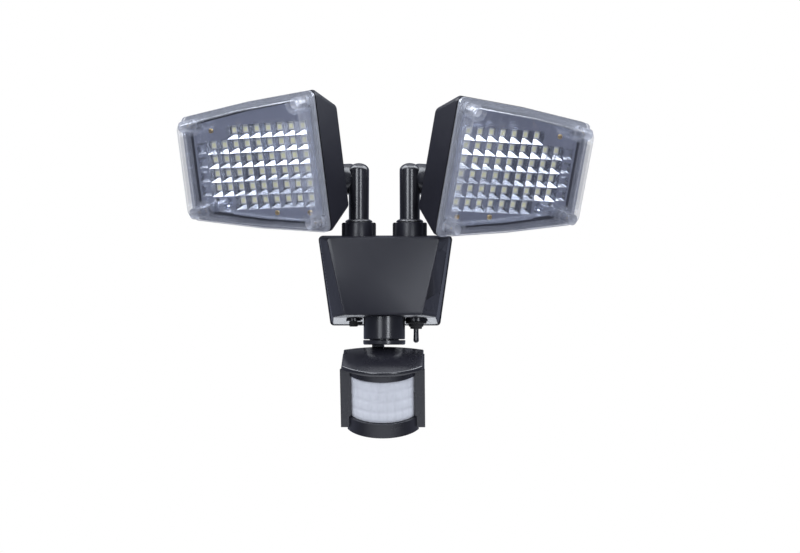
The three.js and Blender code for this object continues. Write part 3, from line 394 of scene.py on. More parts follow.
def face_outline(inset):
    return trapezoid(TOP_HALF - FACE_TOP_INSET - inset, BOTTOM_HALF - FACE_BOTTOM_INSET - inset,
                     BODY_TOP - FACE_TOP_DROP - inset, BODY_BOTTOM + FACE_RISE + inset, CORNER_RADIUS)


cover = drawn("cover", (CLEARANCE / 2, parting_outline(0)), (COVER_DEPTH - 0.9, face_outline(0)),
              (COVER_DEPTH - 0.25, face_outline(0.3)), (COVER_DEPTH, face_outline(0.9)))
bosses = []
for across, up in SCREW_PLACES:
    boss = put(put(rod("boss", 4, -6, COVER_DEPTH - 0.5, 40), FORWARDS), at(across, 0, up))
    bosses.append(work(boss, "INTERSECT", twin(cover)))
work(cover, "DIFFERENCE",
     drawn("hollow", (-1, parting_outline(WALL)), (COVER_DEPTH - WALL, face_outline(WALL))))
work(cover, "UNION", *collars(COLLAR_FRONT, True), *bosses)
pilots = [put(put(rod("pilot", 1.8, -1, 10, 40), FORWARDS), at(across, 0, up)) for across, up in SCREW_PLACES]
slots = []
for side in (-1, 1):
    for i in range(VENTS):
        below = VENT_START + i * VENT_PITCH
        edge, up = side * half_width_at(below), BODY_TOP - below
        slots.append(brick("vent", (edge - 4.8, -VENT_DEPTH, up - VENT_WIDTH / 2),
                           (edge + 4.8, 1, up + VENT_WIDTH / 2)))
work(cover, "DIFFERENCE", *neck_and_arm_bores(), joined("pilots", pilots), joined("slots", slots))
put(eased(cover, 0.3), unit)
cover_black = moulded("cover_black", (0.007, 0.007, 0.011), (0.012, 0.012, 0.018), 0.36, 0.10, 0.45, 0.03,
                      seed=2)
piece(cover, "body_cover", "wall_unit", "cover_black", cover_black, "front_cover")


# ---------------------------------------------------------------- wall plate and housing screws
# A dark pressed plate that is screwed to the wall, with two headed studs that the housing's keyholes drop
# over. Four zinc-plated cross-recess screws go forwards through the housing into the cover's bosses.


def keep(finish, width, *nodes):
    """Sub-parts whose own shape is right: they get a finish, and an easing of their edges in millimetres."""
    for node in nodes:
        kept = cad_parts[node]
        kept.material_slots[0].material = finish.material
        if width:
            round_off = kept.modifiers.new("eased edges", "BEVEL")
            round_off.width, round_off.segments = width / 1000, 2
            round_off.limit_method, round_off.angle_limit = "ANGLE", math.radians(40)


bracket_black = moulded("bracket_black", (0.018, 0.018, 0.019), (0.030, 0.030, 0.032), 0.55, 0.12, 0.7,
                        0.04, seed=4)
keep(bracket_black, 0.4, "wall_plate", "battery_tray")


def metal(name, dark, light, roughness, seed=0.0):
    """Bare or plated metal, with fine turning marks and a patchy sheen."""
    made = Finish(name, Metallic=1.0)
    patches = made.noise(6, 5, seed)
    marks = made.noise(0.4, 2, seed + 5)
    made.set(Base_Color=made.two_tone(patches, dark, light),
             Roughness=patches * 0.16 + marks * 0.08 + (roughness - 0.1),
             Normal=made.bumped(marks, 0.01, 0.4))
    return made


def recessed_screw(name, head_radius, head_height, radius, length):
    """A pan-head screw with a cross recess. Its head is at the back and its thread runs forwards."""
    crown = [(head_radius * math.sin(a), head_height * (1 - math.cos(a)) * 0.35)
             for a in (0, math.pi / 8, math.pi / 4, math.pi * 3 / 8, math.pi / 2)]
    thread = []
    height = head_height + 1
    while height < length - 1:
        thread += [(radius, height), (radius * 0.8, height + 0.5)]
        height += 1
    screw = turned(name, crown + [(head_radius, head_height), (radius, head_height)] + thread
                   + [(radius * 0.8, length - 0.6), (0, length)], 32)
    arms = [brick("recess", (-head_radius * 0.62, -0.35, -1), (head_radius * 0.62, 0.35, head_height * 0.6)),
            brick("recess", (-0.35, -head_radius * 0.62, -1), (0.35, head_radius * 0.62, head_height * 0.6))]
    return eased(put(work(screw, "DIFFERENCE", *arms), FORWARDS), 0.1, 2)


steel = metal("steel", (0.42, 0.42, 0.43), (0.62, 0.62, 0.64), 0.32)
for (across, up), corner in zip(SCREW_PLACES, ("upper_left", "lower_left", "upper_right", "lower_right")):
    screw = recessed_screw("screw", 3, 2, 1.5, 34.6)
    put(screw, unit @ at(across, 25.6, up))
    piece(screw, f"zinc_screw_{corner}", "wall_unit", "steel", steel, f"housing_screw_{corner}")


# ---------------------------------------------------------------- cells and control board
# Two shrink-wrapped cells lie across the housing in a moulded tray, with the glass-fibre control board and
# its relay and capacitor ahead of them in the cover. None of it shows from outside.

cell_wrap = moulded("cell_wrap", (0.03, 0.10, 0.26), (0.05, 0.15, 0.34), 0.35, 0.12, 4, 0.02, seed=6)
keep(cell_wrap, 0.5, "battery_cell_upper", "battery_cell_lower")
circuit_board = moulded("circuit_board", (0.01, 0.09, 0.04), (0.02, 0.14, 0.06), 0.42, 0.14, 1.2, 0.03,
                        seed=7)
keep(circuit_board, 0.1, "control_board", "sensor_board")


# ---------------------------------------------------------------- arms
# Two glossy black tubes with domed tops. Each turns in the body's collars on a flange and a washer, keeps
# the rain out with a rubber ring, and swells at the top into a barrel with a brass insert for the tilt bolt.

KNUCKLE_HEIGHT, BARREL_RADIUS = BODY_TOP + 46.3, 12.85
ARM_TOP = KNUCKLE_HEIGHT + BARREL_RADIUS
SWIVEL, TILT = {-1: 33.0, 1: 37.5}, {-1: 12.0, 1: 16.5}
ARM_FOOT, ARM_FLANGE_TOP = ARM_SEAT - 4.3, ARM_SEAT - 2.1
LUG_START, LUG_END = 16.3, 28.3


def dome(radius, base, height, steps=12):
    """A dome's profile, from its rim up to its crown."""
    return [(radius * math.cos(math.pi / 2 * k / steps) if k < steps else 0,
             base + height * math.sin(math.pi / 2 * k / steps)) for k in range(steps + 1)]


def arm_place(side):
    return unit @ at(side * ARM_OFFSET, 0, 0) @ Matrix.Rotation(math.radians(side * SWIVEL[side]), 4, "Z")


def sideways(side, made, height=KNUCKLE_HEIGHT):
    """Lays an upright piece along the knuckle's axis, its top outwards."""
    return put(made, at(0, 0, height) @ Matrix.Rotation(side * math.pi / 2, 4, "Y"))


gloss_black = moulded("gloss_black", (0.006, 0.006, 0.009), (0.010, 0.010, 0.014), 0.28, 0.08, 1.4, 0.004,
                      coat=0.7, seed=9)
soft_rubber = moulded("soft_rubber", (0.012, 0.012, 0.012), (0.024, 0.023, 0.022), 0.72, 0.14, 0.35, 0.03,
                      seed=11)
brass = metal("brass", (0.55, 0.39, 0.16), (0.74, 0.56, 0.27), 0.30, 2)
for side, hand in ((-1, "left"), (1, "right")):
    middle = BODY_TOP + COLLAR_HEIGHT / 2
    shoulder = COLLAR_TOP + CLEARANCE
    stem = turned("stem", [(0, ARM_FOOT), (11, ARM_FOOT), (11, ARM_FLANGE_TOP), (7.7, ARM_FLANGE_TOP),
                           (7.7, middle - 1), (6.1, middle - 1), (6.1, middle + 1), (7.7, middle + 1),
                           (7.7, shoulder), (11.1, shoulder), (11.1, shoulder + 0.5), (10.3, shoulder + 1.5),
                           (8.9, shoulder + 2.2), (8.2, shoulder + 2.3), *dome(8.4, ARM_TOP - 6, 6)])
    swell = []
    for k in range(13):
        share = k / 12
        swell.append((8.1 + (BARREL_RADIUS - 8.1) * share * share * (3 - 2 * share), 9 * share))
    elbow = sideways(side, turned("elbow", [(0, 0), *swell, (BARREL_RADIUS, 16), (0, 16)]))
    wireway = rod("wireway", 5, ARM_FOOT - 1, KNUCKLE_HEIGHT)
    seat = sideways(side, rod("seat", 4.5, 8.4, 17))
    work(stem, "UNION", elbow)
    work(stem, "DIFFERENCE", wireway, seat)
    put(eased(stem, 0.5), arm_place(side))
    piece(stem, f"{hand}_tube", f"{hand}_arm_unit", "gloss_black", gloss_black, f"{hand}_arm")
    bolt = turned("bolt", [(0, 9), (2.1, 9), (2.5, 9.5), (2.5, LUG_END + CLEARANCE), (5, LUG_END + CLEARANCE),
                           (5, LUG_END + 2.9), (4.4, LUG_END + 3.5), (0, LUG_END + 3.5)], 60)
    socket_cut = rod("hexagon", 2.4, LUG_END + 1.6, LUG_END + 5, 6)
    sideways(side, work(bolt, "DIFFERENCE", socket_cut))
    put(eased(bolt, 0.2), arm_place(side))
    piece(bolt, f"{hand}_tilt_bolt", f"{hand}_arm_unit", "steel", steel, f"{hand}_knuckle_bolt")
keep(gloss_black, 0.2, "left_arm_washer", "right_arm_washer")
keep(soft_rubber, 0.2, "left_arm_seal", "right_arm_seal")
keep(brass, 0.2, "left_knuckle_insert", "right_knuckle_insert")


# ---------------------------------------------------------------- lamp heads
# Two alike lamps, mirrored. Each has a satin black shell with a barrel for the tilt bolt, a foam gasket, a
# white board with fifty LEDs, a vacuum-plated reflector over it, and a clear cover with milky screw posts.

INNER_EDGE, LAMP_WIDTH, INNER_HEIGHT, OUTER_HEIGHT, RISE = -5.0, 138.0, 115.0, 86.0, 22.0
BACK_OFFSET, HEAD_DEPTH, RIM_DEPTH = 25.0, 26.2, 3.0
HEAD_FRONT = BACK_OFFSET + HEAD_DEPTH
FLANGE_BACK, FLANGE_FRONT = HEAD_FRONT + 1.6, HEAD_FRONT + 4.2
TUB_FRONT = FLANGE_BACK + 16.5
BOARD_BACK, BOARD_FRONT = BACK_OFFSET + 19.9, BACK_OFFSET + 21.5
REFLECTOR_BACK, REFLECTOR_FRONT = BOARD_FRONT + 1.5, BOARD_FRONT + 4.7
PITCH, COLUMNS, ROWS, POCKET_FLOOR, RIDGE, POCKET_DROP = 11.7, 9, 6, 5.8, 0.6, 1.6


def lamp_outline(side, inset, drop=0.0, outer_inset=0.0, steps=8):
    inner = INNER_EDGE + inset
    outer = INNER_EDGE + LAMP_WIDTH - inset - outer_inset
    inner_half, outer_half = INNER_HEIGHT / 2 - drop - inset, OUTER_HEIGHT / 2 - drop - inset
    bow_half, middle = (inner_half + outer_half) / 2 + 1.6, (inner + outer) / 2
    corners = [(inner, -inner_half), (middle, -bow_half), (outer, -outer_half),
               (outer, outer_half), (middle, bow_half), (inner, inner_half)]
    return rounded([(side * across, RISE + up) for across, up in corners],
                   lambda half: 60 if half > math.pi * 0.45 else 5, steps)


def square(across, up, half):
    return [(across - half, up - half), (across + half, up - half), (across + half, up + half),
            (across - half, up + half)]


def lamp_corners(side):
    places = []
    for from_inner in (10, LAMP_WIDTH - 10):
        half = (INNER_HEIGHT + (OUTER_HEIGHT - INNER_HEIGHT) * from_inner / LAMP_WIDTH) / 2 - 8
        places += [(side * (INNER_EDGE + from_inner), RISE + half),
                   (side * (INNER_EDGE + from_inner), RISE - half)]
    return places


def led_places(side):
    """Six rows of LEDs. The first and the last are two short at their outer end."""
    return [(side * (INNER_EDGE + 66 + (column - (COLUMNS - 1) / 2) * PITCH),
             RISE + (row - (ROWS - 1) / 2) * PITCH)
            for row in range(ROWS) for column in range(COLUMNS - (2 if row in (0, ROWS - 1) else 0))]


def front_rod(place, radius, low, high, facets=48):
    return put(put(rod("rod", radius, low, high, facets), FORWARDS), at(place[0], 0, place[1]))


shell_black = moulded("shell_black", (0.008, 0.008, 0.012), (0.013, 0.013, 0.019), 0.34, 0.10, 0.6, 0.02,
                      seed=13)
board_white = moulded("board_white", (0.66, 0.66, 0.64), (0.76, 0.76, 0.75), 0.42, 0.10, 1.1, 0.01, seed=15)
# Painted light: the unlit LED packages and phosphors are given a faint emission that brightens them.
PAINTED_LED_GLOW = 0.16
package_white = moulded("package_white", (0.80, 0.80, 0.78), (0.88, 0.88, 0.86), 0.35, 0.10, 0.8, 0.01,
                        seed=16)
phosphor = moulded("phosphor", (0.78, 0.76, 0.44), (0.88, 0.87, 0.58), 0.38, 0.10, 0.5, 0.01, coat=0.5,
                   seed=17)
# Painted glow on the packages and phosphors, a whitish one and a yellowish one.
for lit, colour in ((package_white, (0.9, 0.92, 0.95, 1)), (phosphor, (0.95, 0.93, 0.62, 1))):
    lit.shader.inputs["Emission Color"].default_value = colour
    lit.shader.inputs["Emission Strength"].default_value = PAINTED_LED_GLOW

reflector_silver = Finish("reflector_silver", Metallic=1.0)
cloud = reflector_silver.noise(14, 4, 1)
speck = reflector_silver.noise(1.6, 3, 2)
reflector_silver.set(Base_Color=reflector_silver.two_tone(cloud, (0.66, 0.69, 0.76), (0.82, 0.85, 0.92)),
                     Roughness=cloud * 0.08 + speck * 0.05 + 0.05,
                     Normal=reflector_silver.bumped(speck, 0.02, 0.5))


def see_through(name, tint, gloss, share, spread, size, sheen, **values):
    """Clear or frosted plastic. share is how much of it doesn't let light straight through."""
    made = Finish(name, Base_Color=(*tint, 1), **values)
    cloud = made.noise(size, 3, 5)
    scratch = made.noise(1.2, 4, 8)
    made.set(Roughness=cloud * 0.06 + (gloss - 0.03), Normal=made.bumped(scratch, 0.004, 0.4))
    edge = made.node("Fresnel", None, {"IOR": 1.45})["Fac"]
    share_here = edge * sheen + cloud * spread + (share - spread / 2)
    amount = made.node("Clamp", None, {"Value": share_here})["Result"]
    window = made.node("BsdfTransparent")["BSDF"]
    plastic = Level(made, made.shader.outputs["BSDF"])
    blend = made.node("MixShader", None, {0: amount, 1: window, 2: plastic})["Shader"]
    made.tree.links.new(blend.socket, made.tree.nodes["Material Output"].inputs["Surface"])
    return made


clear_cover = see_through("clear_cover", (0.86, 0.88, 0.92), 0.06, 0.03, 0.02, 25, 0.9, Metallic=1.0)
hazy_wall = see_through("hazy_wall", (0.80, 0.82, 0.88), 0.12, 0.09, 0.10, 9, 0.30, Metallic=0.7)
milky_edge = see_through("milky_edge", (0.84, 0.86, 0.92), 0.18, 0.26, 0.30, 5, 0.6, Metallic=0.5)
milky_post = see_through("milky_post", (0.80, 0.82, 0.88), 0.16, 0.18, 0.22, 4, 0.6, Metallic=0.5)

for side, hand in ((-1, "left"), (1, "right")):
    place = arm_place(side) @ at(0, 0, KNUCKLE_HEIGHT) @ Matrix.Rotation(math.radians(TILT[side]), 4, "X")
    corners, body = lamp_corners(side), f"{hand}_lamp_unit"

    shell = drawn("shell", (BACK_OFFSET, lamp_outline(side, 0.2, 13.7, 12)),
                  (HEAD_FRONT - RIM_DEPTH, lamp_outline(side, 0.15)),
                  (HEAD_FRONT, lamp_outline(side, 0.15)))
    core = drawn("core", (BACK_OFFSET + 1, lamp_outline(side, 1, 13.7, 12)),
                 (HEAD_FRONT - RIM_DEPTH, lamp_outline(side, 1)),
                 (HEAD_FRONT - 0.1, lamp_outline(side, 1)))
    bosses = joined("bosses", [front_rod(c, 4.6, BACK_OFFSET - 2, HEAD_FRONT + 6) for c in corners])
    work(bosses, "INTERSECT", core)
    hollow = drawn("hollow", (BACK_OFFSET + WALL, lamp_outline(side, WALL, 13.7, 12)),
                   (HEAD_FRONT - RIM_DEPTH, lamp_outline(side, WALL)),
                   (HEAD_FRONT + 1, lamp_outline(side, WALL)))
    work(shell, "DIFFERENCE", hollow)
    barrel = sideways(side,
                      turned("barrel",
                             [(0, LUG_START), (BARREL_RADIUS, LUG_START), (BARREL_RADIUS, LUG_END - 1.6),
                              (12.4, LUG_END - 0.5), (11.25, LUG_END), (0, LUG_END)]), 0)
    low, high = sorted((side * LUG_START, side * LUG_END))
    web = brick("web", (low, -BACK_OFFSET - WALL / 2, -9.5), (high, 0, 9.5))
    work(shell, "UNION", barrel, web, bosses)
    heads = joined("heads", [front_rod(c, 3.1, BACK_OFFSET - 2, HEAD_FRONT - 8) for c in corners])
    shanks = joined("shanks", [front_rod(c, 1.7, HEAD_FRONT - 9, HEAD_FRONT + 2) for c in corners])
    bolt_hole = sideways(side, rod("hole", 2.8, LUG_START - 1, LUG_END + 1), 0)
    work(shell, "DIFFERENCE", bolt_hole, heads, shanks)
    put(eased(shell, 0.6), place)
    piece(shell, f"{hand}_back_shell", body, "shell_black", shell_black, f"{hand}_lamp_shell")

    board = drawn("board", (BOARD_BACK, lamp_outline(side, 9.5)), (BOARD_FRONT, lamp_outline(side, 9.5)))
    work(board, "DIFFERENCE",
         joined("reliefs", [front_rod(c, 5.5, BOARD_BACK - 1, BOARD_FRONT + 1) for c in corners]))
    piece(put(eased(board, 0.1, 2), place), f"{hand}_board", body, "led_board", board_white,
          f"{hand}_led_board")
    bases = joined("bases",
                   [drawn("base", (BOARD_FRONT, square(*led, 2.5)), (BOARD_FRONT + 0.95, square(*led, 2.4)))
                             for led in led_places(side)])
    piece(put(eased(bases, 0.15, 2), place), f"{hand}_led_packages", body, "led_board", package_white,
          f"{hand}_led_board")
    domes = joined("domes",
                   [drawn("dome", (BOARD_FRONT + 0.9, square(*led, 1.75)),
                          (BOARD_FRONT + 1.2, square(*led, 1.6)))
                             for led in led_places(side)])
    piece(put(eased(domes, 0.15, 2), place), f"{hand}_led_phosphors", body, "led_board", phosphor,
          f"{hand}_led_board")

    mirror = drawn("mirror", (REFLECTOR_BACK, lamp_outline(side, 7.6)),
                   (REFLECTOR_FRONT, lamp_outline(side, 7.6)))
    mouth, floor = (PITCH - RIDGE) / 2, POCKET_FLOOR / 2
    pockets = joined("pockets", [drawn("pocket", (REFLECTOR_BACK - 0.1, square(across, up, floor)),
                                       (REFLECTOR_FRONT + 0.05, square(across, up - POCKET_DROP, mouth)))
                                 for across, up in led_places(side)])
    work(mirror, "DIFFERENCE", pockets)
    work(mirror, "DIFFERENCE", joined("reliefs", [front_rod(c, 5.5, REFLECTOR_BACK - 1, REFLECTOR_FRONT + 1)
                                                  for c in corners]))
    dish = rounded([(side * a, u) for a, u in ((93, -20.5), (113, -20.5), (113, -3.5), (93, -3.5))], 5, 8)
    dish_floor = rounded([(side * a, u) for a, u in ((95, -18.5), (111, -18.5), (111, -5.5), (95, -5.5))],
                         4, 8)
    work(mirror, "DIFFERENCE",
         drawn("dish", (REFLECTOR_FRONT - 3, dish_floor), (REFLECTOR_FRONT + 0.2, dish)))
    ladder = [(side * 118.6, RISE + (row - (ROWS - 1) / 2) * PITCH - POCKET_DROP)
              for row in range(1, ROWS - 1)]
    rungs = joined("rungs",
                   [drawn("rung", (REFLECTOR_FRONT - 1.8, square(*cell, 2.6)),
                          (REFLECTOR_FRONT + 0.2, square(*cell, 4.8)))
                             for cell in ladder])
    work(mirror, "DIFFERENCE", rungs)
    eye = put(turned("eye",
                     [(2.6, REFLECTOR_FRONT - 3.1), (4.4, REFLECTOR_FRONT - 3.1), (4.0, REFLECTOR_FRONT),
                             (3.0, REFLECTOR_FRONT)], 48, ring=True), FORWARDS)
    work(mirror, "UNION", put(eye, at(side * 99, 0, -10)))
    piece(put(eased(mirror, 0.18, 2), place), f"{hand}_mirror", body, "reflector_silver", reflector_silver,
          f"{hand}_reflector")
    studs = [put(put(recessed_screw("stud", 2, 1.1, 1, 4), Matrix.Rotation(math.pi, 4, "X")),
                 at(side * a, -REFLECTOR_FRONT - 1.1, u)) for a, u in ((106, 52), (48, -18), (15, -19))]
    piece(put(joined("studs", studs), place), f"{hand}_mirror_screws", body, "brass", brass,
          f"{hand}_reflector")

    cover = drawn("cover", (FLANGE_BACK, lamp_outline(side, 4.4)), (TUB_FRONT - 1.1, lamp_outline(side, 5.3)),
                  (TUB_FRONT - 0.5, lamp_outline(side, 5.6)), (TUB_FRONT - 0.1, lamp_outline(side, 6.4)))
    flange = drawn("flange", (FLANGE_BACK, lamp_outline(side, 0.2)), (FLANGE_FRONT, lamp_outline(side, 0.2)))
    inside = drawn("inside", (FLANGE_BACK - 1, lamp_outline(side, 6.2)),
                   (TUB_FRONT - 1.8, lamp_outline(side, 7.0)))
    work(inside, "DIFFERENCE",
         joined("corners", [front_rod(c, 9.0, FLANGE_BACK - 2, TUB_FRONT + 1) for c in corners]))
    wells = [front_rod(c, 7.2, FLANGE_BACK - 2, TUB_FRONT + 1) for c in corners]
    within = drawn("within", (FLANGE_FRONT, lamp_outline(side, 5.6)),
                   (TUB_FRONT + 1, lamp_outline(side, 6.4)))
    wells = joined("wells", [work(well, "INTERSECT", twin(within)) for well in wells])
    bpy.data.objects.remove(within)
    work(cover, "UNION", flange)
    work(cover, "DIFFERENCE", inside, wells)
    work(cover, "DIFFERENCE",
         joined("pilots", [front_rod(c, 4.7, FLANGE_BACK - 1, FLANGE_FRONT + 1) for c in corners]))
    walls, edges = [], []
    for face in cover.data.polygons:
        depth = -face.center.y * 1000
        if depth < FLANGE_FRONT + 0.3 or (depth > TUB_FRONT - 1.5 and abs(face.normal.y) < 0.95):
            edges.append(face.index)
        elif abs(face.normal.y) < 0.85:
            walls.append(face.index)
    put(eased(cover, 0.35), place)
    piece(cover, f"{hand}_window", body, "clear_cover", clear_cover, f"{hand}_lens_cover")
    for finish, chosen in ((hazy_wall, walls), (milky_edge, edges)):
        cover.data.materials.append(finish.material)
        for index in chosen:
            cover.data.polygons[index].material_index = len(cover.data.materials) - 1
    pillars = []
    for corner in corners:
        pillar = front_rod(corner, 4.6, FLANGE_BACK, FLANGE_BACK + 14)
        pillars.append(work(pillar, "DIFFERENCE", front_rod(corner, 1.7, FLANGE_BACK - 1, FLANGE_BACK + 7.3)))
    posts = eased(joined("posts", pillars), 0.5)
    piece(put(posts, place), f"{hand}_window_posts", body, "clear_cover", milky_post, f"{hand}_lens_cover")

    for corner, name in zip(corners, ("upper_inner", "lower_inner", "upper_outer", "lower_outer")):
        seat = HEAD_FRONT - 8.3
        screw = recessed_screw("screw", 2.8, 2, 1.4, FLANGE_BACK + 7 - seat + 2)
        put(screw, place @ at(corner[0], 2 - seat, corner[1]))
        piece(screw, f"{hand}_brass_screw_{name}", body, "brass", brass, f"{hand}_lamp_screw_{name}")
keep(soft_rubber, 0.2, "left_lamp_gasket", "right_lamp_gasket")


# ---------------------------------------------------------------- toggle switch
# A small black bat lever under a stepped rubber boot, in a round seat in the housing's underside.

switch = unit @ at(*TOGGLE_PLACE, 0)
PIVOT = TOGGLE_FACE - 2.1
boot = turned("boot",
              [(3.55, PIVOT + 1.8), (8.6, PIVOT + 1.8), (8.6, PIVOT + 0.3), (8.2, PIVOT), (6.3, PIVOT - 0.2),
                       (6, PIVOT - 2.2), (5.5, PIVOT - 2.6), (4.9, PIVOT - 2.7), (4.75, PIVOT - 4.1),
                       (4.4, PIVOT - 4.4),
                       (3.55, PIVOT - 4.4)], ring=True)
piece(put(eased(boot, 0.2), switch), "switch_boot", "wall_unit", "soft_rubber", soft_rubber, "toggle_boot")
lever = turned("lever", [(r, PIVOT - 13.5 - h) for r, h in reversed(dome(2.3, 0, 2.3))]
               + [(2.2, PIVOT - 12), (2.05, PIVOT - 7), (2.1, PIVOT - 3), (2.3, PIVOT)] + dome(2.3, PIVOT,
                                                                                               2.3))
piece(put(eased(lever, 0), switch), "switch_lever", "toggle", "gloss_black", gloss_black, "toggle_lever")
keep(bracket_black, 0.3, "switch_body")


# ---------------------------------------------------------------- power socket
# A round socket for the supply lead, closed by a rubber cap whose strap reaches towards the neck.

socket_place = unit @ at(*SOCKET_PLACE, 0)
keep(gloss_black, 0.2, "panel_socket")
cap_top = SOCKET_FACE - CLEARANCE
cap = turned("cap", [(0, cap_top - 4.4), (2.8, cap_top - 4.4), (3.35, cap_top - 4.1), (3.6, cap_top - 3.6),
                     (3.6, cap_top), (0, cap_top)])
strap = brick("strap", (0, -2, cap_top - 2.6), (7.4, 2, cap_top - CLEARANCE))
piece(put(eased(work(cap, "UNION", strap), 0.35), socket_place), "socket_cap", "wall_unit", "soft_rubber",
      soft_rubber,
      "socket_dust_cap")


# ---------------------------------------------------------------- sensor neck and swivel
# A short glossy neck hangs from the body, and the swivel turns in it on a snap ring. A tab below the
# swivel's ring and a lug on the sensor share one cross bolt, which is what the sensor tilts on.

NECK_BOTTOM = BODY_BOTTOM - 17.7
RING_TOP, RING_BOTTOM = NECK_BOTTOM - 0.6, NECK_BOTTOM - 4.4
TILT_AXIS = (4.0, RING_BOTTOM - 9.4)
flange_low = BODY_BOTTOM + 1.6 + WALL + CLEARANCE
neck = turned("neck",
              [(12.3, NECK_BOTTOM), (16.4, NECK_BOTTOM), (16.9, NECK_BOTTOM + 0.5), (16.9, flange_low),
                       (19.5, flange_low), (19.5, flange_low + 2.2), (13.9, flange_low + 2.2),
                       (13.9, NECK_BOTTOM + 3),
                       (12.3, NECK_BOTTOM + 3)], 96, ring=True)
piece(put(eased(neck, 0.2), unit), "hanging_neck", "wall_unit", "gloss_black", gloss_black, "sensor_neck")
snap = NECK_BOTTOM + 3 + CLEARANCE
ring = turned("ring",
              [(0, RING_BOTTOM), (16.4, RING_BOTTOM), (17.1, RING_BOTTOM + 0.7), (17.25, RING_TOP - 0.5),
                       (16.8, RING_TOP), (12, RING_TOP), (12, snap), (13.6, snap), (13.3, snap + 1.5),
                       (0, snap + 1.5)], 96)
behind, up = TILT_AXIS
tab = put(put(rod("tab", 6.8, -9.9, -0.3), SIDEWAYS), at(0, behind, up))
work(ring, "UNION", tab, brick("tab", (-9.9, behind - 6.8, up), (-0.3, behind + 6.8, RING_BOTTOM + 1)))
work(ring, "DIFFERENCE", put(put(rod("hole", 2.3, -11, 1), SIDEWAYS), at(0, behind, up)))
piece(put(eased(ring, 0.4), unit), "swivel_ring", "sensor_pan_unit", "gloss_black", gloss_black,
      "sensor_swivel")
axle = unit @ at(0, behind, up)
bolt = turned("bolt",
              [(0, -12.6), (3.4, -12.6), (4, -12), (4, -10.2), (2, -10.2), (2, 13.4), (1.6, 13.9),
               (0, 13.9)], 48)
work(bolt, "DIFFERENCE", brick("slot", (-5, -0.4, -13), (5, 0.4, -11.7)))
piece(put(put(eased(bolt, 0.15), SIDEWAYS), axle), "cross_bolt", "sensor_pan_unit", "steel", steel,
      "sensor_tilt_bolt")
keep(steel, 0.15, "sensor_tilt_nut", "sensor_pyro_element")


# ---------------------------------------------------------------- motion sensor
# A black box with a bowed visor over a milky ribbed lens. The bezel's flat wings close the front, and a
# band under the lens and a brow above it follow the lens round.

head = axle @ Matrix.Rotation(math.radians(21.5), 4, "X")
CAP_TOP, CAP_BOTTOM, CASE_TOP, CASE_BOTTOM = 11.9, 8.2, 7.9, -41.5
SIDE_START, WING_FRONT, WING_BACK, BACK_BOW = 14.4, 49.4, 46.4, 6.2
CASE_HALF = 33
LENS_AXIS, LENS_RADIUS, BAND_TOP, BAND_BOTTOM, BROW_BOTTOM = -34.56, 28.9, -32.3, -44.2, 3.3


def bowed(half, forward, bow, steps=24):
    """Points along an arc that bows forwards, or backwards where bow is below zero."""
    radius = (half * half + bow * bow) / (2 * abs(bow))
    reach = math.asin(half / radius)
    arc = []
    for k in range(steps + 1):
        angle = -reach + 2 * reach * k / steps
        arc.append((radius * math.sin(angle),
                    -forward - math.copysign(radius * (math.cos(angle) - math.cos(reach)), bow)))
    return arc


def raised(name, *sections):
    """A solid raised through plan outlines, each given as (height, outline)."""
    return put(drawn(name, *sections), Matrix.Rotation(-math.pi / 2, 4, "X"))


def visor_outline(inset):
    return bowed(32.3 - inset, WING_FRONT, 15.7 - inset, 40) + bowed(32.3 - inset, SIDE_START + inset,
                                                                     -BACK_BOW)[::-1]


def lens_rod(radius, low, high):
    return put(rod("lens rod", radius, low, high, 160), at(0, LENS_AXIS, 0))


visor = raised("visor", (CAP_BOTTOM, visor_outline(0.4)), (CAP_BOTTOM + 0.4, visor_outline(0)),
               (CAP_TOP - 1.1, visor_outline(0)), (CAP_TOP - 0.3, visor_outline(0.3)),
               (CAP_TOP, visor_outline(0.9)))
piece(put(eased(visor, 0.2, 2, 50), head), "visor", "sensor_head_unit", "gloss_black", gloss_black,
      "sensor_cap")

front = WING_BACK - CLEARANCE


def case_plan(inset, to):
    return [(-CASE_HALF + inset, -to), (CASE_HALF - inset, -to)] + bowed(CASE_HALF - inset,
                                                                         SIDE_START + inset, -BACK_BOW)[::-1]


case = raised("case", (CASE_BOTTOM, case_plan(0, front)), (CASE_TOP, case_plan(0, front)))
dials = [(name, step * 16, 28 - WING_FRONT) for name, step in (("time", -1), ("sensitivity", 0), ("dusk", 1))]
work(case, "DIFFERENCE", raised("hollow", (CASE_BOTTOM + WALL, case_plan(WALL, front + 1)),
                                (CASE_TOP - WALL, case_plan(WALL, front + 1))))
work(case, "DIFFERENCE", *[put(rod("hole", 4.3, CASE_BOTTOM - 1, CASE_BOTTOM + WALL + 1), at(across, y, 0))
                           for _, across, y in dials])
lug = put(rod("lug", 6.8, 0, 9.6), SIDEWAYS)
work(case, "UNION", lug, brick("lug", (0, -9.4, -6.8), (9.6, 0, 6.8)))
work(case, "DIFFERENCE", put(rod("hole", 2.3, -1, 11), SIDEWAYS))
piece(put(eased(case, 0.7), head), "sensor_box", "sensor_head_unit", "gloss_black", gloss_black,
      "sensor_case")

bezel = brick("bezel", (-33.8, -WING_FRONT, CASE_BOTTOM), (33.8, -WING_BACK, CASE_TOP))
ahead = brick("ahead", (-60, -120, -80), (60, -WING_BACK, 40))
bands = [work(lens_rod(31, BAND_BOTTOM, BAND_TOP), "INTERSECT", twin(ahead)),
         work(lens_rod(30, BROW_BOTTOM, CASE_TOP), "INTERSECT", twin(ahead))]
bpy.data.objects.remove(ahead)
work(bezel, "UNION", *bands)
work(bezel, "DIFFERENCE", lens_rod(29.2, BAND_TOP, BROW_BOTTOM),
     lens_rod(25.9, BAND_BOTTOM + WALL, CASE_TOP - WALL))
piece(put(eased(bezel, 0.4), head), "sensor_front", "sensor_head_unit", "gloss_black", gloss_black,
      "sensor_bezel")

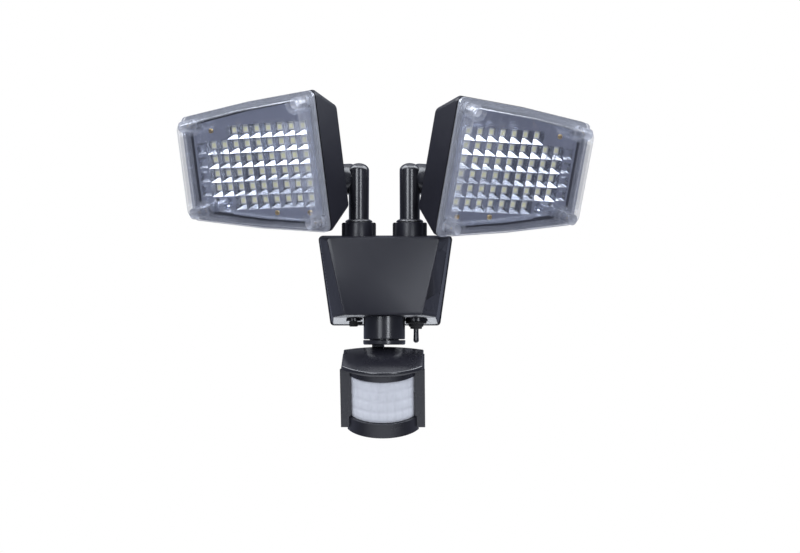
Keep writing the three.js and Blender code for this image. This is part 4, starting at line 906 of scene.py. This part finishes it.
fresnel_white = Finish("fresnel_white", Subsurface_Weight=0.12, Subsurface_Scale=0.001,
                       Subsurface_Radius=(1, 1, 1))
milk = fresnel_white.noise(18, 3, 3)
grain = fresnel_white.noise(0.8, 2, 6)
fresnel_white.set(Base_Color=fresnel_white.two_tone(milk, (0.58, 0.59, 0.62), (0.68, 0.69, 0.72)),
                  Roughness=milk * 0.08 + 0.34, Normal=fresnel_white.bumped(grain, 0.01, 0.3))
reach = math.acos((WING_FRONT - 6 + LENS_AXIS) / LENS_RADIUS)
low, high, cells_round, cells_up, fine = BAND_TOP + 0.3, BROW_BOTTOM - 0.3, 11, 4, 6
points, faces = [], []
across_count, up_count = cells_round * fine, cells_up * fine
for shell_radius in (LENS_RADIUS, LENS_RADIUS - 1.4):
    for j in range(up_count + 1):
        for i in range(across_count + 1):
            cell = (abs(math.sin(math.pi * i / fine)) * abs(math.sin(math.pi * j / fine))) ** 0.3
            radius = shell_radius - (0.7 * (1 - cell) if shell_radius == LENS_RADIUS else 0)
            angle = -reach + 2 * reach * i / across_count
            points.append((radius * math.sin(angle), LENS_AXIS - radius * math.cos(angle),
                           low + (high - low) * j / up_count))
row, layer = across_count + 1, (across_count + 1) * (up_count + 1)
for j in range(up_count):
    for i in range(across_count):
        corner = j * row + i
        faces += [(corner, corner + 1, corner + row + 1, corner + row),
                  (layer + corner, layer + corner + row, layer + corner + row + 1, layer + corner + 1)]
edge = [i for i in range(across_count)] + [across_count + j * row for j in range(up_count)]
edge += [up_count * row + i for i in range(across_count, 0, -1)] + [j * row for j in range(up_count, 0, -1)]
faces += [(a, layer + a, layer + b, b) for a, b in zip(edge, edge[1:] + edge[:1])]
lens = eased(solid("lens", points, faces), 0, smooth=60)
piece(put(lens, head), "ribbed_lens", "sensor_head_unit", "fresnel_white", fresnel_white, "sensor_lens")

dial_black = moulded("dial_black", (0.020, 0.020, 0.021), (0.034, 0.034, 0.036), 0.42, 0.10, 0.5, 0.03,
                     seed=19)
for name, across, y in dials:
    bottom, inner = CASE_BOTTOM - 1.4, CASE_BOTTOM + WALL + CLEARANCE
    knob = turned("knob",
                  [(0, bottom), (3.6, bottom), (4, bottom + 0.4), (4, inner), (5.2, inner),
                   (5.2, inner + 1.5),
                           (0, inner + 1.5)])
    work(knob, "DIFFERENCE", brick("slot", (-5, -0.6, bottom - 1), (5, 0.6, bottom + 1)))
    put(eased(knob, 0.2, 2), head @ at(across, y, 0))
    piece(knob, f"{name}_knob_turned", f"{name}_knob", "dial_black", dial_black, f"{name}_dial")


# ---------------------------------------------------------------- floor, light and camera
# A round paper floor well below that fades out towards its edge, a plain white surround, and soft lights
# above, on both sides, in front and behind.

floor = rod("floor", 3200, -1910, -1900, 96)
paper = moulded("paper", (0.80, 0.80, 0.81), (0.84, 0.84, 0.85), 0.8, 0.1, 30, 0.05, seed=21)
spread = paper.node("VectorMath", {"operation": "LENGTH"}, {0: paper.grain})["Value"]
paper.set(Alpha=paper.node("MapRange", {"interpolation_type": "SMOOTHSTEP"},
                           {"Value": spread, "From Min": 2.0, "From Max": 3.6, "To Min": 1.0,
                            "To Max": 0.0})["Result"])
floor.data.materials.append(paper.material)

world = bpy.data.worlds.new("studio")
bpy.context.scene.world = world
world.use_nodes = True
tree = world.node_tree
seen, unseen = tree.nodes["Background"], tree.nodes.new("ShaderNodeBackground")
seen.inputs["Color"].default_value, seen.inputs["Strength"].default_value = (1, 1, 1, 1), 1.0
unseen.inputs["Strength"].default_value = 0.55
blend, path = tree.nodes.new("ShaderNodeMixShader"), tree.nodes.new("ShaderNodeLightPath")
ramp, split, coordinate = (tree.nodes.new("ShaderNode" + kind) for kind in ("ValToRGB", "SeparateXYZ",
                                                                            "TexCoord"))
half_up = tree.nodes.new("ShaderNodeMath")
half_up.operation = "MULTIPLY_ADD"
half_up.inputs[1].default_value, half_up.inputs[2].default_value = 0.5, 0.5
sky = ((0.0, (0.08, 0.09, 0.13)), (0.22, (0.10, 0.11, 0.16)), (0.33, (0.36, 0.38, 0.50)),
       (0.42, (0.38, 0.41, 0.54)),
       (0.56, (0.20, 0.22, 0.30)), (0.84, (0.34, 0.36, 0.46)), (0.94, (1.5, 1.55, 1.7)))
for k, (position, colour) in enumerate(sky):
    stop = ramp.color_ramp.elements[k] if k < 2 else ramp.color_ramp.elements.new(position)
    stop.position, stop.color = position, (*colour, 1)
for start, end in ((coordinate.outputs["Generated"], split.inputs[0]),
                   (split.outputs["Z"], half_up.inputs[0]),
                   (half_up.outputs[0], ramp.inputs[0]), (ramp.outputs[0], unseen.inputs["Color"]),
                   (path.outputs["Is Camera Ray"], blend.inputs[0]), (unseen.outputs[0], blend.inputs[1]),
                   (seen.outputs[0], blend.inputs[2]),
                   (blend.outputs[0], tree.nodes["World Output"].inputs[0])):
    tree.links.new(start, end)


def softbox(name, azimuth, elevation, distance, width, height, power):
    """A soft light that looks at the middle of the object. Azimuth 0 is straight ahead of it."""
    lamp = bpy.data.lights.new(name, "AREA")
    lamp.shape, lamp.size, lamp.size_y, lamp.energy = "RECTANGLE", width, height, power
    lamp.color = (0.90, 0.94, 1.0)
    holder = bpy.data.objects.new(name, lamp)
    bpy.context.scene.collection.objects.link(holder)
    turn, rise = math.radians(azimuth), math.radians(elevation)
    reach = Vector((math.sin(turn) * math.cos(rise), -math.cos(turn) * math.cos(rise), math.sin(rise)))
    holder.location = reach * distance
    holder.rotation_euler = (-reach).to_track_quat("-Z", "Y").to_euler()


softbox("overhead", 0, 70, 2.0, 2.0, 1.2, 34)
softbox("left above", -84, 46, 2.2, 1.9, 1.9, 60)
softbox("right above", 86, 42, 2.2, 1.9, 1.9, 60)
softbox("key", -22, 16, 2.9, 0.9, 1.6, 32)
softbox("fill", 24, 4, 3.0, 0.5, 1.8, 24)
softbox("under", 180, -30, 2.3, 1.3, 0.6, 6)

aim = Vector((0.0128, -0.032, 0.0028))
azimuth, elevation = math.radians(1.7), math.radians(-1.65)
camera = bpy.data.objects.new("camera", bpy.data.cameras.new("camera"))
bpy.context.scene.collection.objects.link(camera)
camera.data.lens = 101
camera.location = aim + 1.83 * Vector((math.sin(azimuth) * math.cos(elevation),
                                       -math.cos(azimuth) * math.cos(elevation), math.sin(elevation)))
camera.rotation_euler = (aim - camera.location).to_track_quat("-Z", "Y").to_euler()
bpy.context.scene.camera = camera
bpy.context.scene.view_settings.view_transform = "Standard"
